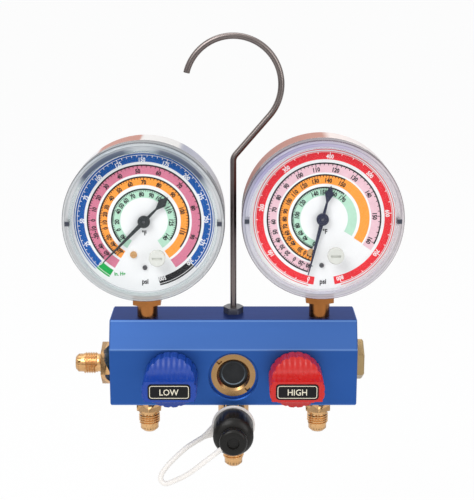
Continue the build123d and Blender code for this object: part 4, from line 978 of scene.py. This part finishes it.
bpy.ops.object.convert(target="MESH")
strap = bpy.context.object
print("strap points", len(strap.data.vertices))

# %% [markdown]
# The third part is the eye, a torus stretched a little along its axis, which stands in the cap behind its crown.

# %% Tether eye
eye_depth = -37.7
select_nothing()
bpy.ops.mesh.primitive_torus_add(major_radius=5.5 * mm, minor_radius=0.7 * mm, major_segments=48, minor_segments=12,
                                 location=(0, 0, 0), rotation=(0, 0, 0))
eye_ring = bpy.context.object
edit()
bpy.ops.transform.resize(value=(1, 1, 1.25))
end_edit()
stand = Matrix.Rotation(pi / 2, 4, "X")
eye_ring.data.transform(Matrix.Translation((0, eye_depth * mm, port_height * mm)) @ stand)
print("eye points", len(eye_ring.data.vertices))

# %% [markdown]
# The three are joined, remeshed and smoothed, which blends the strap into the ring and the eye.

# %% Tether skin
voxel = 0.3
select_nothing()
for part in (tether, strap, eye_ring):
    part.select_set(True)
bpy.context.view_layer.objects.active = tether
bpy.ops.object.join()
only_this(tether)
apply_modifier(tether, "REMESH", mode="VOXEL", voxel_size=voxel * mm)
apply_modifier(tether, "SMOOTH", factor=0.7, iterations=16)
bpy.ops.object.shade_smooth()
tether.data.materials.clear()
tether.data.materials.append(milky_plastic)
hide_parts("cap_tether")
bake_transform(tether)
print("tether points", len(tether.data.vertices))

# %% [markdown]
# The cap's crown is a rounded button that hides the eye of the tether. A copy of the cap gets a slightly fuller crown
# and its corners are rounded with a bevel, as a moulded part has them.

# %% Cap
cap = merged_copy("port_cap", "port_cap_moulded")
cap_low, cap_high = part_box("port_cap")
cap_axis = Vector((0, 0, cap_low.z + (cap_high.z - cap_low.z) / 2))
crown_start, crown_inner, crown_outer, fuller = -38.8, 4.7, 6.4, 1.14
for point in cap.data.vertices:
    across = Vector((point.co.x, 0, point.co.z - cap_axis.z))
    if point.co.y < crown_start * mm and crown_inner * mm < across.length < crown_outer * mm:
        across = across * fuller
        point.co.x = across.x
        point.co.z = cap_axis.z + across.z
apply_modifier(cap, "BEVEL", width=0.25 * mm, segments=2, angle_limit=radians(40))
bpy.ops.object.shade_smooth_by_angle(angle=radians(45))
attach(cap, "cap")
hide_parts("port_cap")
print("cap points", len(cap.data.vertices))

# %% [markdown]
# Two snap tabs hold each lens, at nine and three o'clock. They are near black, which is painted shade where they sit in
# the lens's slots. Each is a small block behind the clear front, taller than it is wide, and its edges are bevelled.
# The four tabs are copies of the first.

# %% Snap tabs
# painted shade: the tabs' near-black colour
tab_shade_plastic = finish("tab_shade_plastic", (0.03, 0.035, 0.05), (0.05, 0.055, 0.075), roughness=0.35, bump=0.03, shine=0.3)
select_nothing()
bpy.ops.mesh.primitive_cube_add(size=1, location=(0, 0, 0))
first_tab = bpy.context.object
first_tab.data.transform(Matrix.Diagonal((1.9 * mm, 2.0 * mm, 2.0 * mm, 1)))
edit(by="FACE")
bpy.ops.transform.resize(value=(1, 1, 1.6))
bpy.ops.mesh.bevel(offset=0.25 * mm, segments=2)
end_edit()
first_tab.data.materials.append(tab_shade_plastic)
tab_radius, tab_depth = 37.3, 3.9
for side in ("low", "high"):
    middle = gauge_centre(side)
    for where, turned in (("right", 0), ("left", pi)):
        tab = copy_of(first_tab)
        out = Vector((tab_radius * cos(turned) * mm, -tab_depth * mm, 0))
        place = Matrix.Translation(Vector((middle.x, dial_face[side], middle.z)) + out)
        tab.data.transform(place @ Matrix.Rotation(turned, 4, "Y"))
        join(side + "_snap_tab_" + where, [tab])
bpy.data.objects.remove(first_tab)
print("snap tabs", 4)

# %% [markdown]
# Each knob carries a small black plate with the word LOW or HIGH in cream paint and a thin cream line round it. The
# line starts as a plane with rounded corners. It is inset, and the middle is taken away.

# %% Knob labels
cream_ink = ink("cream_ink", 226, 218, 196)


def label_line(middle, face, width, height, corner, thick):
    """A thin painted line with rounded corners, in millimetres."""
    select_nothing()
    bpy.ops.mesh.primitive_plane_add(size=1, location=(0, 0, 0))
    border = bpy.context.object
    border.data.transform(Matrix.Diagonal((width * mm, height * mm, 1, 1)))
    edit()
    bpy.ops.mesh.bevel(offset=corner * mm, segments=6, affect="VERTICES", clamp_overlap=False)
    bpy.ops.mesh.select_all(action="SELECT")
    bpy.ops.mesh.inset(thickness=thick * mm)
    bpy.ops.mesh.delete(type="FACE")
    end_edit()
    apply_modifier(border, "SOLIDIFY", thickness=0.02 * mm, offset=1)
    stand_up(border, middle, face, 0.02)
    border.data.materials.append(cream_ink)
    return border


for side, word in (("low", "LOW"), ("high", "HIGH")):
    low_corner, high_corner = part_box(side + "_label_plate")
    middle = (low_corner + high_corner) / 2
    face = low_corner.y
    letters = lettering(word, 3.3 * mm, narrow=0.9, weight=0.006)
    stand_up(letters, middle, face, 0.03)
    letters.data.materials.append(cream_ink)
    border = label_line(middle, face, 19.6, 6.6, 1.3, 0.32)
    join(side + "_label_print", [border, letters], body=side + "_knob")
    print(side, "label face at", round(face * 1000, 2))

# %% Finish
bpy.context.scene.view_settings.view_transform = "Standard"
